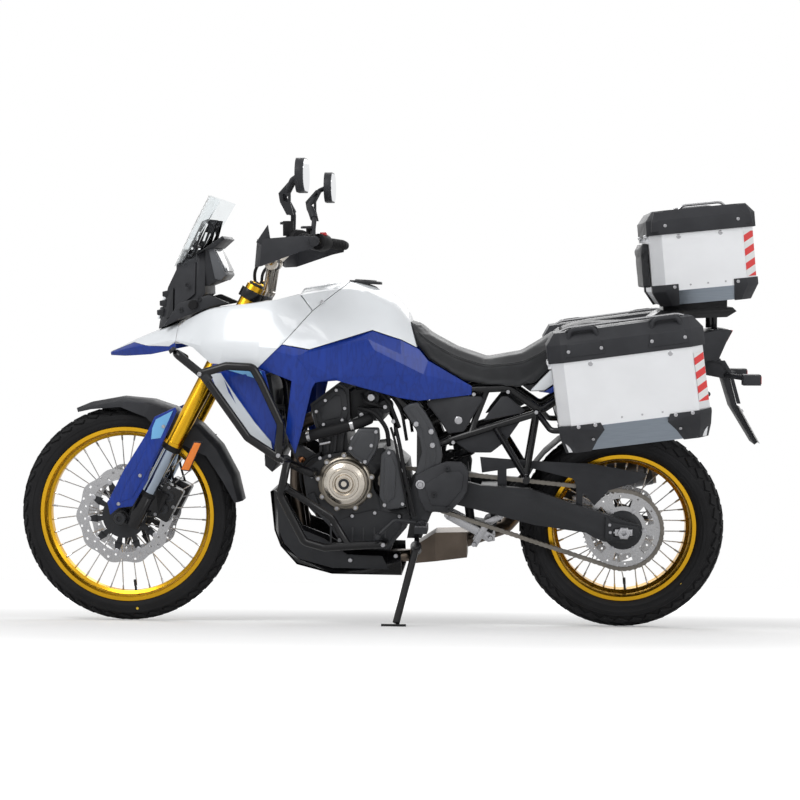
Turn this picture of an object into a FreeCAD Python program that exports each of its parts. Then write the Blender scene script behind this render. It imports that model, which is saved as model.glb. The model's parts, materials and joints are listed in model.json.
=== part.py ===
"""Adventure motorcycle with side cases and a top case, leaning on its side stand.

Frame of the drawing: +X towards the rear, +Z up, -Y the motorcycle's left side.
Every piece is drawn on the upright machine, with the ground at Z = 0 and the origin
midway between the axles. One common placement then leans the machine onto its stand.
All sizes are in millimetres and degrees.
"""
import FreeCAD, Part
import math
import os
import Sketcher

SIZES = {
    # Wheels and steering geometry
    "wheelbase": 1570, "front_radius": 347.7, "rear_radius": 321,
    "front_width": 90, "rear_width": 150, "front_crown": 48, "rear_crown": 78,
    "front_rim_radius": 281.5, "rear_rim_radius": 231, "front_rim_width": 72,
    "rear_rim_width": 118, "rim_wall": 5, "rim_lip": 15, "spoke_radius": 2.2,
    "spoke_count": 36, "spoke_cross": 22, "hub_radius": 30, "front_flange_radius": 44,
    "rear_flange_radius": 60, "front_hub_width": 96, "rear_hub_width": 106,
    "axle_radius": 12, "axle_bore": 8, "rake": 28, "fork_offset": 38,
    "stem_offset": 62.6, "lean": 10, "wheel_roll": 5,
    # Fork and bars
    "fork_spacing": 210, "outer_tube_radius": 27, "inner_tube_radius": 21.5,
    "outer_tube_start": 271, "fork_top": 846, "fork_cap": 10, "stem_radius": 14,
    "head_radius": 33, "spar_radius": 19, "down_tube_radius": 15, "rail_radius": 12,
    "lower_clamp": 632, "upper_clamp": 800, "clamp_thickness": 30, "clamp_wall": 9,
    "bar_half_width": 431, "bar_end_height": 1209, "bar_end_x": -133,
    "bar_radius": 11, "grip_radius": 17, "grip_length": 118,
    "fender_radius": 376, "fender_wall": 3,
    "disc_radius": 155, "disc_thickness": 4.5, "disc_offset": 68,
    "rear_disc_radius": 130, "rear_disc_offset": 88,
    # Drive
    "sprocket_teeth": 48, "drive_teeth": 17, "chain_pitch": 15.875, "chain_line": 98,
    "sprocket_thickness": 6, "chain_plate": 5.4, "chain_width": 18, "chain_height": 15,
    "drive_x": 75, "drive_height": 470, "pivot_x": 163, "pivot_height": 470,
    "arm_inner": 118, "arm_thickness": 32,
    # Cases
    "case_width": 252, "case_inner": 232, "case_length": 434, "case_height": 262,
    "case_wall": 3, "case_front_x": 590, "case_front_height": 594, "case_tilt": 7.5,
    "case_slope": 72, "case_slope_inset": 46, "case_chamfer": 34,
    "lid_height": 86, "lid_overhang": 8, "lid_wall": 4, "lid_rim": 11, "lid_gap": 0.3,
    "knuckle_radius": 5, "knuckle_length": 16, "hinge_pin_radius": 2.5,
    "top_width": 424, "top_length": 308, "top_height": 212,
    "top_front_x": 872, "top_front_height": 1014, "top_tilt": 5.3, "top_lid_height": 72,
    "top_slope": 42, "top_slope_inset": 24, "top_chamfer": 34,
    # Bodywork and guards
    "body_wall": 4, "screen_wall": 4, "bar_tube_radius": 12.5, "rack_tube_radius": 9,
    # Clearances
    "seat_gap": 0.3, "running_gap": 0.1, "moving_gap": 6,
}

doc = FreeCAD.newDocument("motorcycle")
sheet = doc.addObject("Spreadsheet::Sheet", "Sizes")
for row, (alias, number) in enumerate(SIZES.items(), start=1):
    sheet.set("A%d" % row, alias)
    sheet.set("B%d" % row, str(number))
    sheet.setAlias("B%d" % row, alias)
doc.recompute()


class Dim:
    """A size with its value and the spreadsheet expression that gives it."""

    def __init__(self, value, text):
        self.value = float(value)
        self.text = text

    def _join(self, other, sign, value, swap=False):
        other_text = other.text if isinstance(other, Dim) else repr(other)
        pair = (other_text, self.text) if swap else (self.text, other_text)
        return Dim(value, "(%s %s %s)" % (pair[0], sign, pair[1]))

    def __float__(self):
        return self.value

    def __add__(self, other):
        return self._join(other, "+", self.value + float(other))

    __radd__ = __add__

    def __sub__(self, other):
        return self._join(other, "-", self.value - float(other))

    def __rsub__(self, other):
        return self._join(other, "-", float(other) - self.value, swap=True)

    def __mul__(self, other):
        return self._join(other, "*", self.value * float(other))

    __rmul__ = __mul__

    def __truediv__(self, other):
        return self._join(other, "/", self.value / float(other))

    def __rtruediv__(self, other):
        return self._join(other, "/", float(other) / self.value, swap=True)

    def __neg__(self):
        return Dim(-self.value, "(0 - %s)" % self.text)


class Sizes:
    """Each alias of the sheet as an attribute."""


d = Sizes()
for alias in SIZES:
    setattr(d, alias, Dim(sheet.get(alias), "Sizes.%s" % alias))


def sine(angle):
    return Dim(math.sin(math.radians(float(angle))), "sin(%s)" % angle.text)


def cosine(angle):
    return Dim(math.cos(math.radians(float(angle))), "cos(%s)" % angle.text)


def vec(x, y, z):
    return FreeCAD.Vector(float(x), float(y), float(z))


X_AXIS = vec(1, 0, 0)
Y_AXIS = vec(0, 1, 0)
Z_AXIS = vec(0, 0, 1)

# The lean about the ground line, with the small lift and pitch that keep both tyres on
# the ground when they roll onto the side of their crowns.
front_axle = vec(-d.wheelbase / 2, 0, d.front_radius)
rear_axle = vec(d.wheelbase / 2, 0, d.rear_radius)
crown_rise = 1 - math.cos(math.radians(float(d.lean)))
front_lift = float(d.front_crown) * crown_rise
rear_lift = float(d.rear_crown) * crown_rise
pitch = math.degrees((front_lift - rear_lift) / float(d.wheelbase))
LEAN = FreeCAD.Placement(
    vec(0, 0, (front_lift + rear_lift) / 2),
    FreeCAD.Rotation(Y_AXIS, pitch) * FreeCAD.Rotation(X_AXIS, float(d.lean)))

# Directions along the fork and square to it, towards the rear
fork_up = vec(math.sin(math.radians(float(d.rake))), 0, math.cos(math.radians(float(d.rake))))
fork_back = vec(fork_up.z, 0, -fork_up.x)
fork_foot = front_axle + fork_back * float(d.fork_offset)
steer_foot = front_axle + fork_back * float(d.stem_offset)

pieces = []


def finish(piece, label, place=FreeCAD.Placement()):
    """Names a finished sub-part and leans it with the machine."""
    piece.Label = label
    piece.Placement = LEAN.multiply(place).multiply(piece.Placement)
    pieces.append(piece)
    return piece


def solid_piece(label, shape):
    """A sub-part whose shape is worked out from the sheet."""
    piece = doc.addObject("Part::Feature", label)
    piece.Shape = shape
    return finish(piece, label)


# Shape helpers

def fused(shapes):
    """One solid, with its split faces merged where the result stays sound."""
    whole = shapes[0].multiFuse(shapes[1:])
    merged = whole.removeSplitter()
    return merged if merged.isValid() else whole


def plate(outline, y_from, y_to):
    """A flat plate of the given side-view outline between two widths."""
    corners = [vec(x, y_from, z) for x, z in outline]
    face = Part.Face(Part.makePolygon(corners + corners[:1]))
    return face.extrude(vec(0, float(y_to) - float(y_from), 0))


def rounded(shape, radius, along=Y_AXIS):
    """Rounds the edges that run along one direction."""
    edges = []
    for edge in shape.Edges:
        if len(edge.Vertexes) != 2:
            continue
        run = edge.Vertexes[1].Point - edge.Vertexes[0].Point
        if abs(run.normalize().dot(along)) > 0.999:
            edges.append(edge)
    return shape.makeFillet(float(radius), edges)


def rod(start, end, radius):
    run = end - start
    return Part.makeCylinder(float(radius), run.Length, start, run)


def bent_path(points, bend):
    """Straight runs joined by arcs of one bend radius."""
    edges = []
    begin = points[0]
    for before, corner, after in zip(points, points[1:], points[2:]):
        inward = (before - corner).normalize()
        outward = (after - corner).normalize()
        half = math.acos(max(-1, min(1, inward.dot(outward)))) / 2
        reach = bend / math.tan(half)
        enter = corner + inward * reach
        leave = corner + outward * reach
        middle = (inward + outward).normalize()
        top = corner + middle * (bend / math.sin(half) - bend)
        edges.append(Part.LineSegment(begin, enter).toShape())
        edges.append(Part.Arc(enter, top, leave).toShape())
        begin = leave
    edges.append(Part.LineSegment(begin, points[-1]).toShape())
    return Part.Wire(edges)


def tube(points, radius, bend=40):
    """A round bar bent along the points."""
    path = bent_path(points, bend)
    ring = Part.makeCircle(float(radius), points[0], points[1] - points[0])
    return path.makePipeShell([Part.Wire([ring])], True, True)


def loft(sections):
    """A solid with flat facets through closed outlines of equal corners."""
    wires = [Part.makePolygon(list(section) + [section[0]]) for section in sections]
    return Part.makeLoft(wires, True, True)


def box(x_from, x_to, y_from, y_to, z_from, z_to):
    low = vec(x_from, y_from, z_from)
    return Part.makeBox(float(x_to) - float(x_from), float(y_to) - float(y_from),
                        float(z_to) - float(z_from), low)


# Sketched bodies

def origin_feature(body, role):
    for feature in body.Origin.OriginFeatures:
        if feature.Role == role:
            return feature
    raise ValueError(role)


def pin_point(sketch, geometry, end, u, v):
    """Ties one point of a sketch to the sheet, measured from the sketch origin."""
    for kind, axis, number in (("DistanceX", -2, u), ("DistanceY", -1, v)):
        if abs(float(number)) < 1e-9:
            sketch.addConstraint(Sketcher.Constraint("PointOnObject", geometry, end, axis))
            continue
        index = sketch.addConstraint(
            Sketcher.Constraint(kind, -1, 1, geometry, end, float(number)))
        if isinstance(number, Dim):
            sketch.setExpression("Constraints[%d]" % index, number.text)


def outline_sketch(body, role, corners, name):
    """A closed outline of straight sides with every corner tied to the sheet."""
    sketch = body.newObject("Sketcher::SketchObject", name)
    sketch.AttachmentSupport = [(origin_feature(body, role), "")]
    sketch.MapMode = "FlatFace"
    points = [vec(u, v, 0) for u, v in corners]
    for index, point in enumerate(points):
        following = points[(index + 1) % len(points)]
        sketch.addGeometry(Part.LineSegment(point, following), False)
    for index in range(len(points)):
        following = (index + 1) % len(points)
        sketch.addConstraint(Sketcher.Constraint("Coincident", index, 2, following, 1))
    for index, (u, v) in enumerate(corners):
        pin_point(sketch, index, 1, u, v)
    return sketch


def turned_body(label, profile):
    """A body of revolution about the wheel axis, drawn as (across, radius) corners."""
    body = doc.addObject("PartDesign::Body", label)
    sketch = outline_sketch(body, "XY_Plane", profile, label + "_profile")
    turn = body.newObject("PartDesign::Revolution", label + "_turn")
    turn.Profile = sketch
    turn.ReferenceAxis = (origin_feature(body, "X_Axis"), [""])
    turn.Angle = 360
    return body


ACROSS = FreeCAD.Rotation(Z_AXIS, 90)


def at_wheel(centre, roll=0.0):
    """Turns a body drawn along X so that its axis lies across the machine."""
    return FreeCAD.Placement(centre, ACROSS * FreeCAD.Rotation(X_AXIS, float(roll)))


# Wheels

def tyre_profile(radius, width, crown, rim_radius, rim_width):
    """A tyre section: crown facets on one arc, sidewalls and the bead on the rim."""
    centre = radius - crown
    angles = [float(d.lean), 34, 60, 84]
    right = []
    for angle in angles:
        turn = Dim(angle, "Sizes.lean") if angle == float(d.lean) else Dim(angle, repr(angle))
        reach = crown * sine(turn)
        height = centre + crown * cosine(turn)
        right.append((reach * (width / 2) / (crown * sine(Dim(84, "84"))), height)
                     if angle == 84 else (reach, height))
    bead = rim_radius - d.rim_lip + d.seat_gap
    right.append((width * 0.46, rim_radius + 10))
    right.append((rim_width / 2, rim_radius + 1))
    right.append((rim_width / 2 - d.rim_wall - d.seat_gap, rim_radius + 1))
    right.append((rim_width / 2 - d.rim_wall - d.seat_gap, bead))
    left = [(-across, height) for across, height in reversed(right)]
    return right + left


def rim_profile(radius, width):
    """A rim section: two flanges, the bead seats and the drop centre."""
    half = width / 2
    bed = radius - d.rim_lip
    well = bed - d.rim_lip * 0.7
    right = [(half, radius), (half - d.rim_wall, radius), (half - d.rim_wall, bed),
             (half * 0.42, bed - 1), (half * 0.3, well)]
    outer = right + [(-u, v) for u, v in reversed(right)]
    inner_right = [(half, bed - d.rim_wall + 1), (half * 0.46, bed - d.rim_wall - 2),
                   (half * 0.32, well - d.rim_wall)]
    inner = [(-u, v) for u, v in inner_right] + list(reversed(inner_right))
    return outer + inner


def hub_profile(width, flange, bore):
    """A spool hub with two spoke flanges."""
    half = width / 2
    right = [(half, flange), (half - 9, flange), (half - 16, d.hub_radius)]
    outer = right + [(-u, v) for u, v in reversed(right)]
    return outer + [(-half, bore), (half, bore)]


def spokes(rim_radius, flange_radius, flange_half):
    """Crossed pairs of spokes from the hub flanges to the drop centre of the rim."""
    count = int(float(d.spoke_count))
    start_radius = float(flange_radius) - 5
    end_radius = float(rim_radius - d.rim_lip) - 12
    bars = []
    for index in range(count):
        side = 1 if index % 2 else -1
        sweep = float(d.spoke_cross) * (1 if index % 4 < 2 else -1)
        end_angle = math.radians(index * 360 / count)
        start_angle = end_angle + math.radians(sweep)
        start = vec(side * (float(flange_half) - 5), start_radius * math.cos(start_angle),
                    start_radius * math.sin(start_angle))
        end = vec(side * 3, end_radius * math.cos(end_angle), end_radius * math.sin(end_angle))
        run = end - start
        corners = []
        aside = run.cross(X_AXIS).normalize()
        upward = run.cross(aside).normalize()
        for turn in (45, 135, 225, 315):
            angle = math.radians(turn)
            corners.append(start + (aside * math.cos(angle) + upward * math.sin(angle))
                           * float(d.spoke_radius))
        face = Part.Face(Part.makePolygon(corners + corners[:1]))
        bars.append(face.extrude(run))
    return Part.makeCompound(bars)


def wire_wheel(label, centre, rim_radius, rim_width, hub_width, flange):
    bore = d.axle_radius + d.running_gap
    ring = turned_body(label + "_ring", rim_profile(rim_radius, rim_width))
    hub = turned_body(label + "_hub", hub_profile(hub_width, flange, bore))
    lacing = doc.addObject("Part::Feature", label + "_lacing")
    lacing.Shape = spokes(rim_radius, flange, hub_width / 2)
    whole = doc.addObject("Part::MultiFuse", label)
    whole.Shapes = [ring, hub, lacing]
    finish(whole, label, at_wheel(centre, d.wheel_roll))


def wheels():
    wire_wheel("front_rim", front_axle, d.front_rim_radius, d.front_rim_width,
               d.front_hub_width, d.front_flange_radius)
    wire_wheel("rear_rim", rear_axle, d.rear_rim_radius, d.rear_rim_width,
               d.rear_hub_width, d.rear_flange_radius)
    front = turned_body("front_tyre", tyre_profile(
        d.front_radius, d.front_width, d.front_crown, d.front_rim_radius, d.front_rim_width))
    finish(front, "front_tyre", at_wheel(front_axle))
    rear = turned_body("rear_tyre", tyre_profile(
        d.rear_radius, d.rear_width, d.rear_crown, d.rear_rim_radius, d.rear_rim_width))
    finish(rear, "rear_tyre", at_wheel(rear_axle))


def disc_ring(radius, thickness, offset, inner, waves, bore_count):
    """A wave brake disc: a lobed rim, a band of drillings and a spoked carrier."""
    blank = Part.makeCylinder(radius - 4, thickness, vec(offset, 0, 0), X_AXIS)
    lobes = []
    for index in range(waves):
        angle = 2 * math.pi * index / waves
        seat = vec(offset, (radius - 22) * math.cos(angle), (radius - 22) * math.sin(angle))
        lobes.append(Part.makeCylinder(22, thickness, seat, X_AXIS))
    ring = fused([blank] + lobes)
    cutters = [Part.makeCylinder(inner, thickness + 2, vec(offset - 1, 0, 0), X_AXIS)]
    for index in range(bore_count):
        angle = 2 * math.pi * (index + 0.5) / bore_count
        reach = radius - 20
        seat = vec(offset - 1, reach * math.cos(angle), reach * math.sin(angle))
        cutters.append(Part.makeCylinder(8, thickness + 2, seat, X_AXIS))
    return ring.cut(cutters)


def disc_carrier(offset, thickness, inner, hub_face, bolt_radius, arms):
    """The spider that carries a disc on the hub's face."""
    low = min(hub_face, offset)
    high = max(hub_face, offset + thickness)
    boss = Part.makeCylinder(bolt_radius + 10, high - low, vec(low, 0, 0), X_AXIS)
    parts = [boss]
    for index in range(arms):
        arm = Part.makeBox(thickness, 16, inner + 3 - bolt_radius,
                           vec(offset, -8, bolt_radius))
        arm.rotate(vec(0, 0, 0), X_AXIS, 360 * index / arms)
        parts.append(arm)
    return fused(parts)


def front_discs():
    thickness = float(d.disc_thickness)
    radius = float(d.disc_radius)
    face = float(d.front_hub_width / 2) + 0.2
    offset = float(d.disc_offset)
    inner = radius - 42
    ring = disc_ring(radius, thickness, offset, inner, 10, 20)
    carrier = disc_carrier(offset, thickness, inner, face, 30, 10)
    bore = Part.makeCylinder(float(d.axle_radius) + 9, 200, vec(0, 0, 0), X_AXIS)
    right = ring.fuse(carrier).cut(bore)
    left = right.mirror(vec(0, 0, 0), X_AXIS)
    piece = doc.addObject("Part::Feature", "front_discs")
    piece.Shape = Part.makeCompound([right, left])
    finish(piece, "front_discs", at_wheel(front_axle))


def rear_disc():
    thickness = float(d.disc_thickness)
    radius = float(d.rear_disc_radius)
    face = float(d.rear_hub_width / 2) + 0.2
    offset = float(d.rear_disc_offset)
    ring = disc_ring(radius, thickness, -offset - thickness, radius - 38, 8, 16)
    carrier = disc_carrier(-offset - thickness, thickness, radius - 38, -face, 34, 8)
    bore = Part.makeCylinder(float(d.axle_radius) + 9, 200, vec(-200, 0, 0), X_AXIS)
    piece = doc.addObject("Part::Feature", "rear_disc")
    piece.Shape = ring.fuse(carrier).cut(bore)
    finish(piece, "rear_disc", FreeCAD.Placement(rear_axle, FreeCAD.Rotation(Z_AXIS, -90)))


def pitch_radius(teeth):
    return float(d.chain_pitch) / (2 * math.sin(math.pi / float(teeth)))


def toothed_plate(teeth, thickness, base):
    """A chain wheel: a flank and a tip for each tooth."""
    radius = pitch_radius(teeth)
    root = radius - 4.9
    tip = radius + 3.6
    step = 2 * math.pi / teeth
    corners = []
    for index in range(teeth):
        start = index * step
        for share, reach in ((-0.16, root), (0.16, root), (0.42, tip), (0.58, tip)):
            angle = start + share * step
            corners.append(vec(base, reach * math.cos(angle), reach * math.sin(angle)))
    face = Part.Face(Part.makePolygon(corners + corners[:1]))
    return face.extrude(vec(thickness, 0, 0))


def rear_sprocket():
    teeth = int(float(d.sprocket_teeth))
    thickness = float(d.sprocket_thickness)
    base = float(d.chain_line) - thickness / 2
    wheel = toothed_plate(teeth, thickness, base)
    windows = []
    count = 6
    for index in range(count):
        window = Part.makeCylinder(17, thickness + 2, vec(base - 1, 86, 0), X_AXIS)
        window.rotate(vec(0, 0, 0), X_AXIS, 360 * index / count)
        windows.append(window)
    face = float(d.rear_hub_width / 2) + 0.2
    carrier = Part.makeCylinder(64, base - face, vec(face, 0, 0), X_AXIS)
    bore = Part.makeCylinder(float(d.axle_radius) + 9, 200, vec(0, 0, 0), X_AXIS)
    piece = doc.addObject("Part::Feature", "rear_sprocket")
    piece.Shape = wheel.fuse(carrier).cut(windows + [bore])
    finish(piece, "rear_sprocket", FreeCAD.Placement(rear_axle, FreeCAD.Rotation(Z_AXIS, -90)))


def chain():
    """The two plate bands of the drive chain, wrapped round both chain wheels."""
    large = pitch_radius(d.sprocket_teeth)
    small = pitch_radius(d.drive_teeth)
    drive = vec(d.drive_x, 0, d.drive_height)
    axle = vec(rear_axle.x, 0, rear_axle.z)
    run = axle - drive
    slope = math.atan2(run.z, run.x)
    spread = math.asin((large - small) / run.Length)
    half = float(d.chain_height) / 2

    def loop(extra, y):
        edges = []
        big = large + extra
        little = small + extra

        def at(centre, radius, angle):
            return centre + vec(radius * math.cos(angle), 0, radius * math.sin(angle))
        up = slope + math.pi / 2 + spread
        down = slope - math.pi / 2 - spread
        shift = vec(0, y, 0)
        p1 = at(drive, little, up) + shift
        p2 = at(axle, big, up) + shift
        p3 = at(axle, big, slope) + shift
        p4 = at(axle, big, down) + shift
        p5 = at(drive, little, down) + shift
        p6 = at(drive, little, slope + math.pi) + shift
        edges.append(Part.LineSegment(p1, p2).toShape())
        edges.append(Part.Arc(p2, p3, p4).toShape())
        edges.append(Part.LineSegment(p4, p5).toShape())
        edges.append(Part.Arc(p5, p6, p1).toShape())
        return Part.Face(Part.Wire(edges))

    bands = []
    line = float(d.chain_line)
    plate_width = float(d.chain_plate)
    for inner in (-line - float(d.chain_width) / 2, -line + float(d.chain_width) / 2 - plate_width):
        outer_face = loop(half, inner)
        inner_face = loop(-half, inner)
        band = outer_face.cut(inner_face).extrude(vec(0, plate_width, 0))
        bands.append(band)
    solid_piece("chain", Part.makeCompound(bands))


# Front end

def fork_point(along, across, back=0.0):
    """A point along the fork, measured from the axle, at a width across."""
    return fork_foot + fork_up * float(along) + fork_back * float(back) + vec(0, across, 0)


def steer_point(along, across=0.0, back=0.0):
    return steer_foot + fork_up * float(along) + fork_back * float(back) + vec(0, across, 0)


def front_fork():
    half = float(d.fork_spacing / 2)
    outer = float(d.outer_tube_radius)
    inner = float(d.inner_tube_radius)
    start = float(d.outer_tube_start)
    tops = []
    for side in (-half, half):
        tube_outer = rod(fork_point(start, side), fork_point(d.fork_top, side), outer)
        collar = rod(fork_point(start, side), fork_point(start + 22, side), outer + 2.5)
        cap = rod(fork_point(d.fork_top, side), fork_point(d.fork_top + d.fork_cap, side), outer - 8)
        tops.append(fused([tube_outer, collar, cap]))
    solid_piece("fork_tubes", Part.makeCompound(tops))
    lowers = []
    axle_hole = rod(front_axle + vec(0, -200, 0), front_axle + vec(0, 200, 0),
                    float(d.axle_radius))
    for side in (-half, half):
        slider = rod(fork_point(60, side), fork_point(start - 0.1, side), inner)
        sign = 1 if side > 0 else -1
        boss = rod(front_axle + vec(0, side - 17 * sign, 0),
                   front_axle + vec(0, side + 17 * sign, 0), 25)
        leg = rod(fork_point(-6, side), fork_point(104, side), inner + 5.5)
        lug = plate_square(fork_point(100, side, 30), 16, 60, 70)
        guard_boss = rod(fork_point(90, side, -24), fork_point(90, sign * 136.7, -24), 8)
        stay = rod(fork_point(252, side), fork_point(252, sign * 72), 8)
        bracket = [fork_point(along, sign * 70.3, back)
                   for along, back in ((240, -9), (240, 9), (345, 9), (345, -9))]
        bracket = Part.Face(Part.makePolygon(bracket + bracket[:1])).extrude(vec(0, sign * 3.2, 0))
        lowers.append(fused([slider, leg, boss, lug, guard_boss, stay, bracket]).cut(axle_hole))
    solid_piece("fork_lowers", Part.makeCompound(lowers))
    axle_length = half + 24
    shaft = rod(front_axle + vec(0, -axle_length, 0), front_axle + vec(0, axle_length, 0),
                float(d.axle_radius) - 0.02)
    head = rod(front_axle + vec(0, -axle_length - 4, 0), front_axle + vec(0, -axle_length + 4, 0), 17)
    bore = rod(front_axle + vec(0, -300, 0), front_axle + vec(0, 300, 0), d.axle_bore)
    spacers = [rod(front_axle + vec(0, side * (float(d.front_hub_width) / 2 + 0.3), 0),
                   front_axle + vec(0, side * (half - 17.3), 0), 17) for side in (-1, 1)]
    solid_piece("front_axle", fused([shaft, head] + spacers).cut(bore))


def plate_square(centre, width, length, height):
    """A block square to the fork, centred on a point of it."""
    block = Part.makeBox(length, width, height, vec(-length / 2, -width / 2, -height / 2))
    block.rotate(vec(0, 0, 0), Y_AXIS, float(d.rake))
    block.translate(centre)
    return block


def steering_room():
    """The room that the fork and its clamps need to turn, as a round bar about the stem."""
    reach = math.hypot(float(d.fork_spacing) / 2, float(d.stem_offset - d.fork_offset))
    clear = float(d.outer_tube_radius + d.clamp_wall + d.moving_gap)
    top = steer_point(d.fork_top + d.fork_cap + d.moving_gap)
    return rod(steer_point(float(d.outer_tube_start)), top, reach + clear)


def clamps():
    half = float(d.fork_spacing / 2)
    outer = float(d.outer_tube_radius)
    thick = float(d.clamp_thickness)
    parts = []
    for along in (float(d.lower_clamp), float(d.upper_clamp)):
        for side in (-half, half):
            parts.append(rod(fork_point(along, side), fork_point(along + thick, side),
                             outer + float(d.clamp_wall)))
        middle = fork_point(along + thick / 2, 0, 10)
        parts.append(plate_square(middle, 2 * half - 6, 62, thick))
    stem = rod(steer_point(float(d.lower_clamp)), steer_point(float(d.upper_clamp) + thick + 12),
               float(d.stem_radius))
    whole = fused(parts + [stem])
    holes = [rod(fork_point(-50, side), fork_point(1000, side), outer) for side in (-half, half)]
    solid_piece("triple_clamps", whole.cut(holes))


def at_bar(x, y, rise):
    """A point whose height is measured from the bar's ends."""
    return vec(x, y, float(d.bar_end_height) + rise)


def handlebar_points():
    return [at_bar(-312, 55, -63), at_bar(-262, 165, -1), at_bar(-222, 235, 13),
            at_bar(d.bar_end_x, d.bar_half_width, 0)]


def handlebar():
    right = handlebar_points()
    left = [vec(p.x, -p.y, p.z) for p in right]
    path = list(reversed(left)) + right
    bar = tube(path, d.bar_radius, 30)
    parts = [bar]
    for side in (-52, 52):
        top = float(d.upper_clamp) + float(d.clamp_thickness)
        foot = steer_point(top + 12, side, 8)
        parts.append(rod(steer_point(top, side, 8), foot, 15))
        parts.append(rod(foot, at_bar(-312, side, -63), 13))
        parts.append(rod(at_bar(-312, side - 14, -63), at_bar(-312, side + 14, -63), 20))
    solid_piece("handlebar", fused(parts))
    sleeves = []
    for points in (right, left):
        inner_end = points[-2]
        outer_end = points[-1]
        run = (outer_end - inner_end).normalize()
        start = outer_end - run * float(d.grip_length)
        grip = rod(start, outer_end - run * 4, d.grip_radius)
        flange = rod(start - run * 4, start, float(d.grip_radius) + 6)
        switch = rod(start - run * 52, start - run * 5, 27)
        hollow = rod(inner_end - run * 30, outer_end + run * 30, float(d.bar_radius) + 0.1)
        lever_pivot = start - run * 36 + vec(-34, 0, -4)
        lever = tube([lever_pivot, lever_pivot + run * 60 + vec(-18, 0, -4),
                      lever_pivot + run * 128 + vec(-10, 0, -6)], 6, 20)
        clamp = rod(start - run * 44 + vec(-10, 0, 0), lever_pivot, 12)
        reservoir = rod(start - run * 48 + vec(-26, 0, 8), start - run * 48 + vec(-26, 0, 52), 16)
        link = rod(start - run * 48 + vec(-26, 0, 12), start - run * 40 + vec(-4, 0, 0), 10)
        sleeves.append(fused([grip, flange, switch, lever, clamp, reservoir, link]).cut(hollow))
    solid_piece("hand_controls", Part.makeCompound(sleeves))


def bar_hole(gap):
    """The outside of the handlebar with a gap, to clear what is clamped on it."""
    right = handlebar_points()
    left = [vec(p.x, -p.y, p.z) for p in right]
    return tube(list(reversed(left)) + right, float(d.bar_radius) + gap, 30)


def hand_guards():
    """A curved shell ahead of each grip, held at the bar's end and beside its inner bend."""
    guards = []
    end = handlebar_points()[-1]
    run = (end - handlebar_points()[-2]).normalize()
    stations = [(end.x - 6, 436, -23, 13), (-176, 440, -31, 15), (-296, 405, -73, 7),
                (-322, 330, -75, 7), (-318, 236, -69, -9)]
    for side in (-1, 1):
        sections = []
        for x, y, low, high in stations:
            inward = vec(5, -side * 3, 0)
            outer_low = at_bar(x, side * y, low)
            outer_high = at_bar(x + 8, side * y, high)
            sections.append([outer_low, outer_high, outer_high + inward, outer_low + inward])
        shell = loft(sections)
        level = float(d.bar_end_height)
        fin = plate([(-306, level - 3), (-271, level + 48), (-262, level - 9), (-286, level - 13)],
                    side * 398, side * 404)
        tip = vec(end.x, side * end.y, end.z)
        outward = vec(run.x, side * run.y, run.z)
        stay = rod(tip + outward * 0.3, tip + outward * 9, 15)
        arm = tube([at_bar(-222, side * 220, 13), at_bar(-258, side * 222, 7),
                    at_bar(-318, side * 240, -29)], 5, 12)
        guards.append(fused([shell, fin, stay, arm]).cut(bar_hole(0)))
    solid_piece("hand_guards", Part.makeCompound(guards))


def stadium(centre, half_length, radius, thickness):
    """A flat head with half-round ends, facing along the machine."""
    x, y, z = centre.x, centre.y, centre.z
    top = Part.LineSegment(vec(x, y - half_length, z + radius), vec(x, y + half_length, z + radius))
    end = Part.Arc(vec(x, y + half_length, z + radius), vec(x, y + half_length + radius, z),
                   vec(x, y + half_length, z - radius))
    low = Part.LineSegment(vec(x, y + half_length, z - radius), vec(x, y - half_length, z - radius))
    start = Part.Arc(vec(x, y - half_length, z - radius), vec(x, y - half_length - radius, z),
                     vec(x, y - half_length, z + radius))
    face = Part.Face(Part.Wire([edge.toShape() for edge in (top, end, low, start)]))
    return face.extrude(vec(thickness, 0, 0))


def mirrors():
    both = []
    right = handlebar_points()
    run = (right[-1] - right[-2]).normalize()
    seat = right[-1] - run * (float(d.grip_length) + 88)
    for side in (-1, 1):
        ring = [vec(p.x, side * p.y, p.z) for p in (seat - run * 9, seat + run * 9)]
        foot = vec(seat.x, side * seat.y, seat.z + 10)
        path = [foot, at_bar(-214, side * 262, 81), at_bar(-236, side * 306, 131),
                at_bar(-206, side * 345, 181), at_bar(-186, side * 365, 192)]
        stem = tube(path, 8, 14)
        knuckle = rod(at_bar(-216, side * 268, 87), at_bar(-231, side * 297, 121), 12)
        clamp = rod(ring[0], ring[1], 18)
        head = stadium(at_bar(-186, side * 370, 192), 30, 50, 24)
        both.append(fused([stem, knuckle, clamp, head]).cut(bar_hole(0)))
    solid_piece("mirrors", Part.makeCompound(both))


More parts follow.
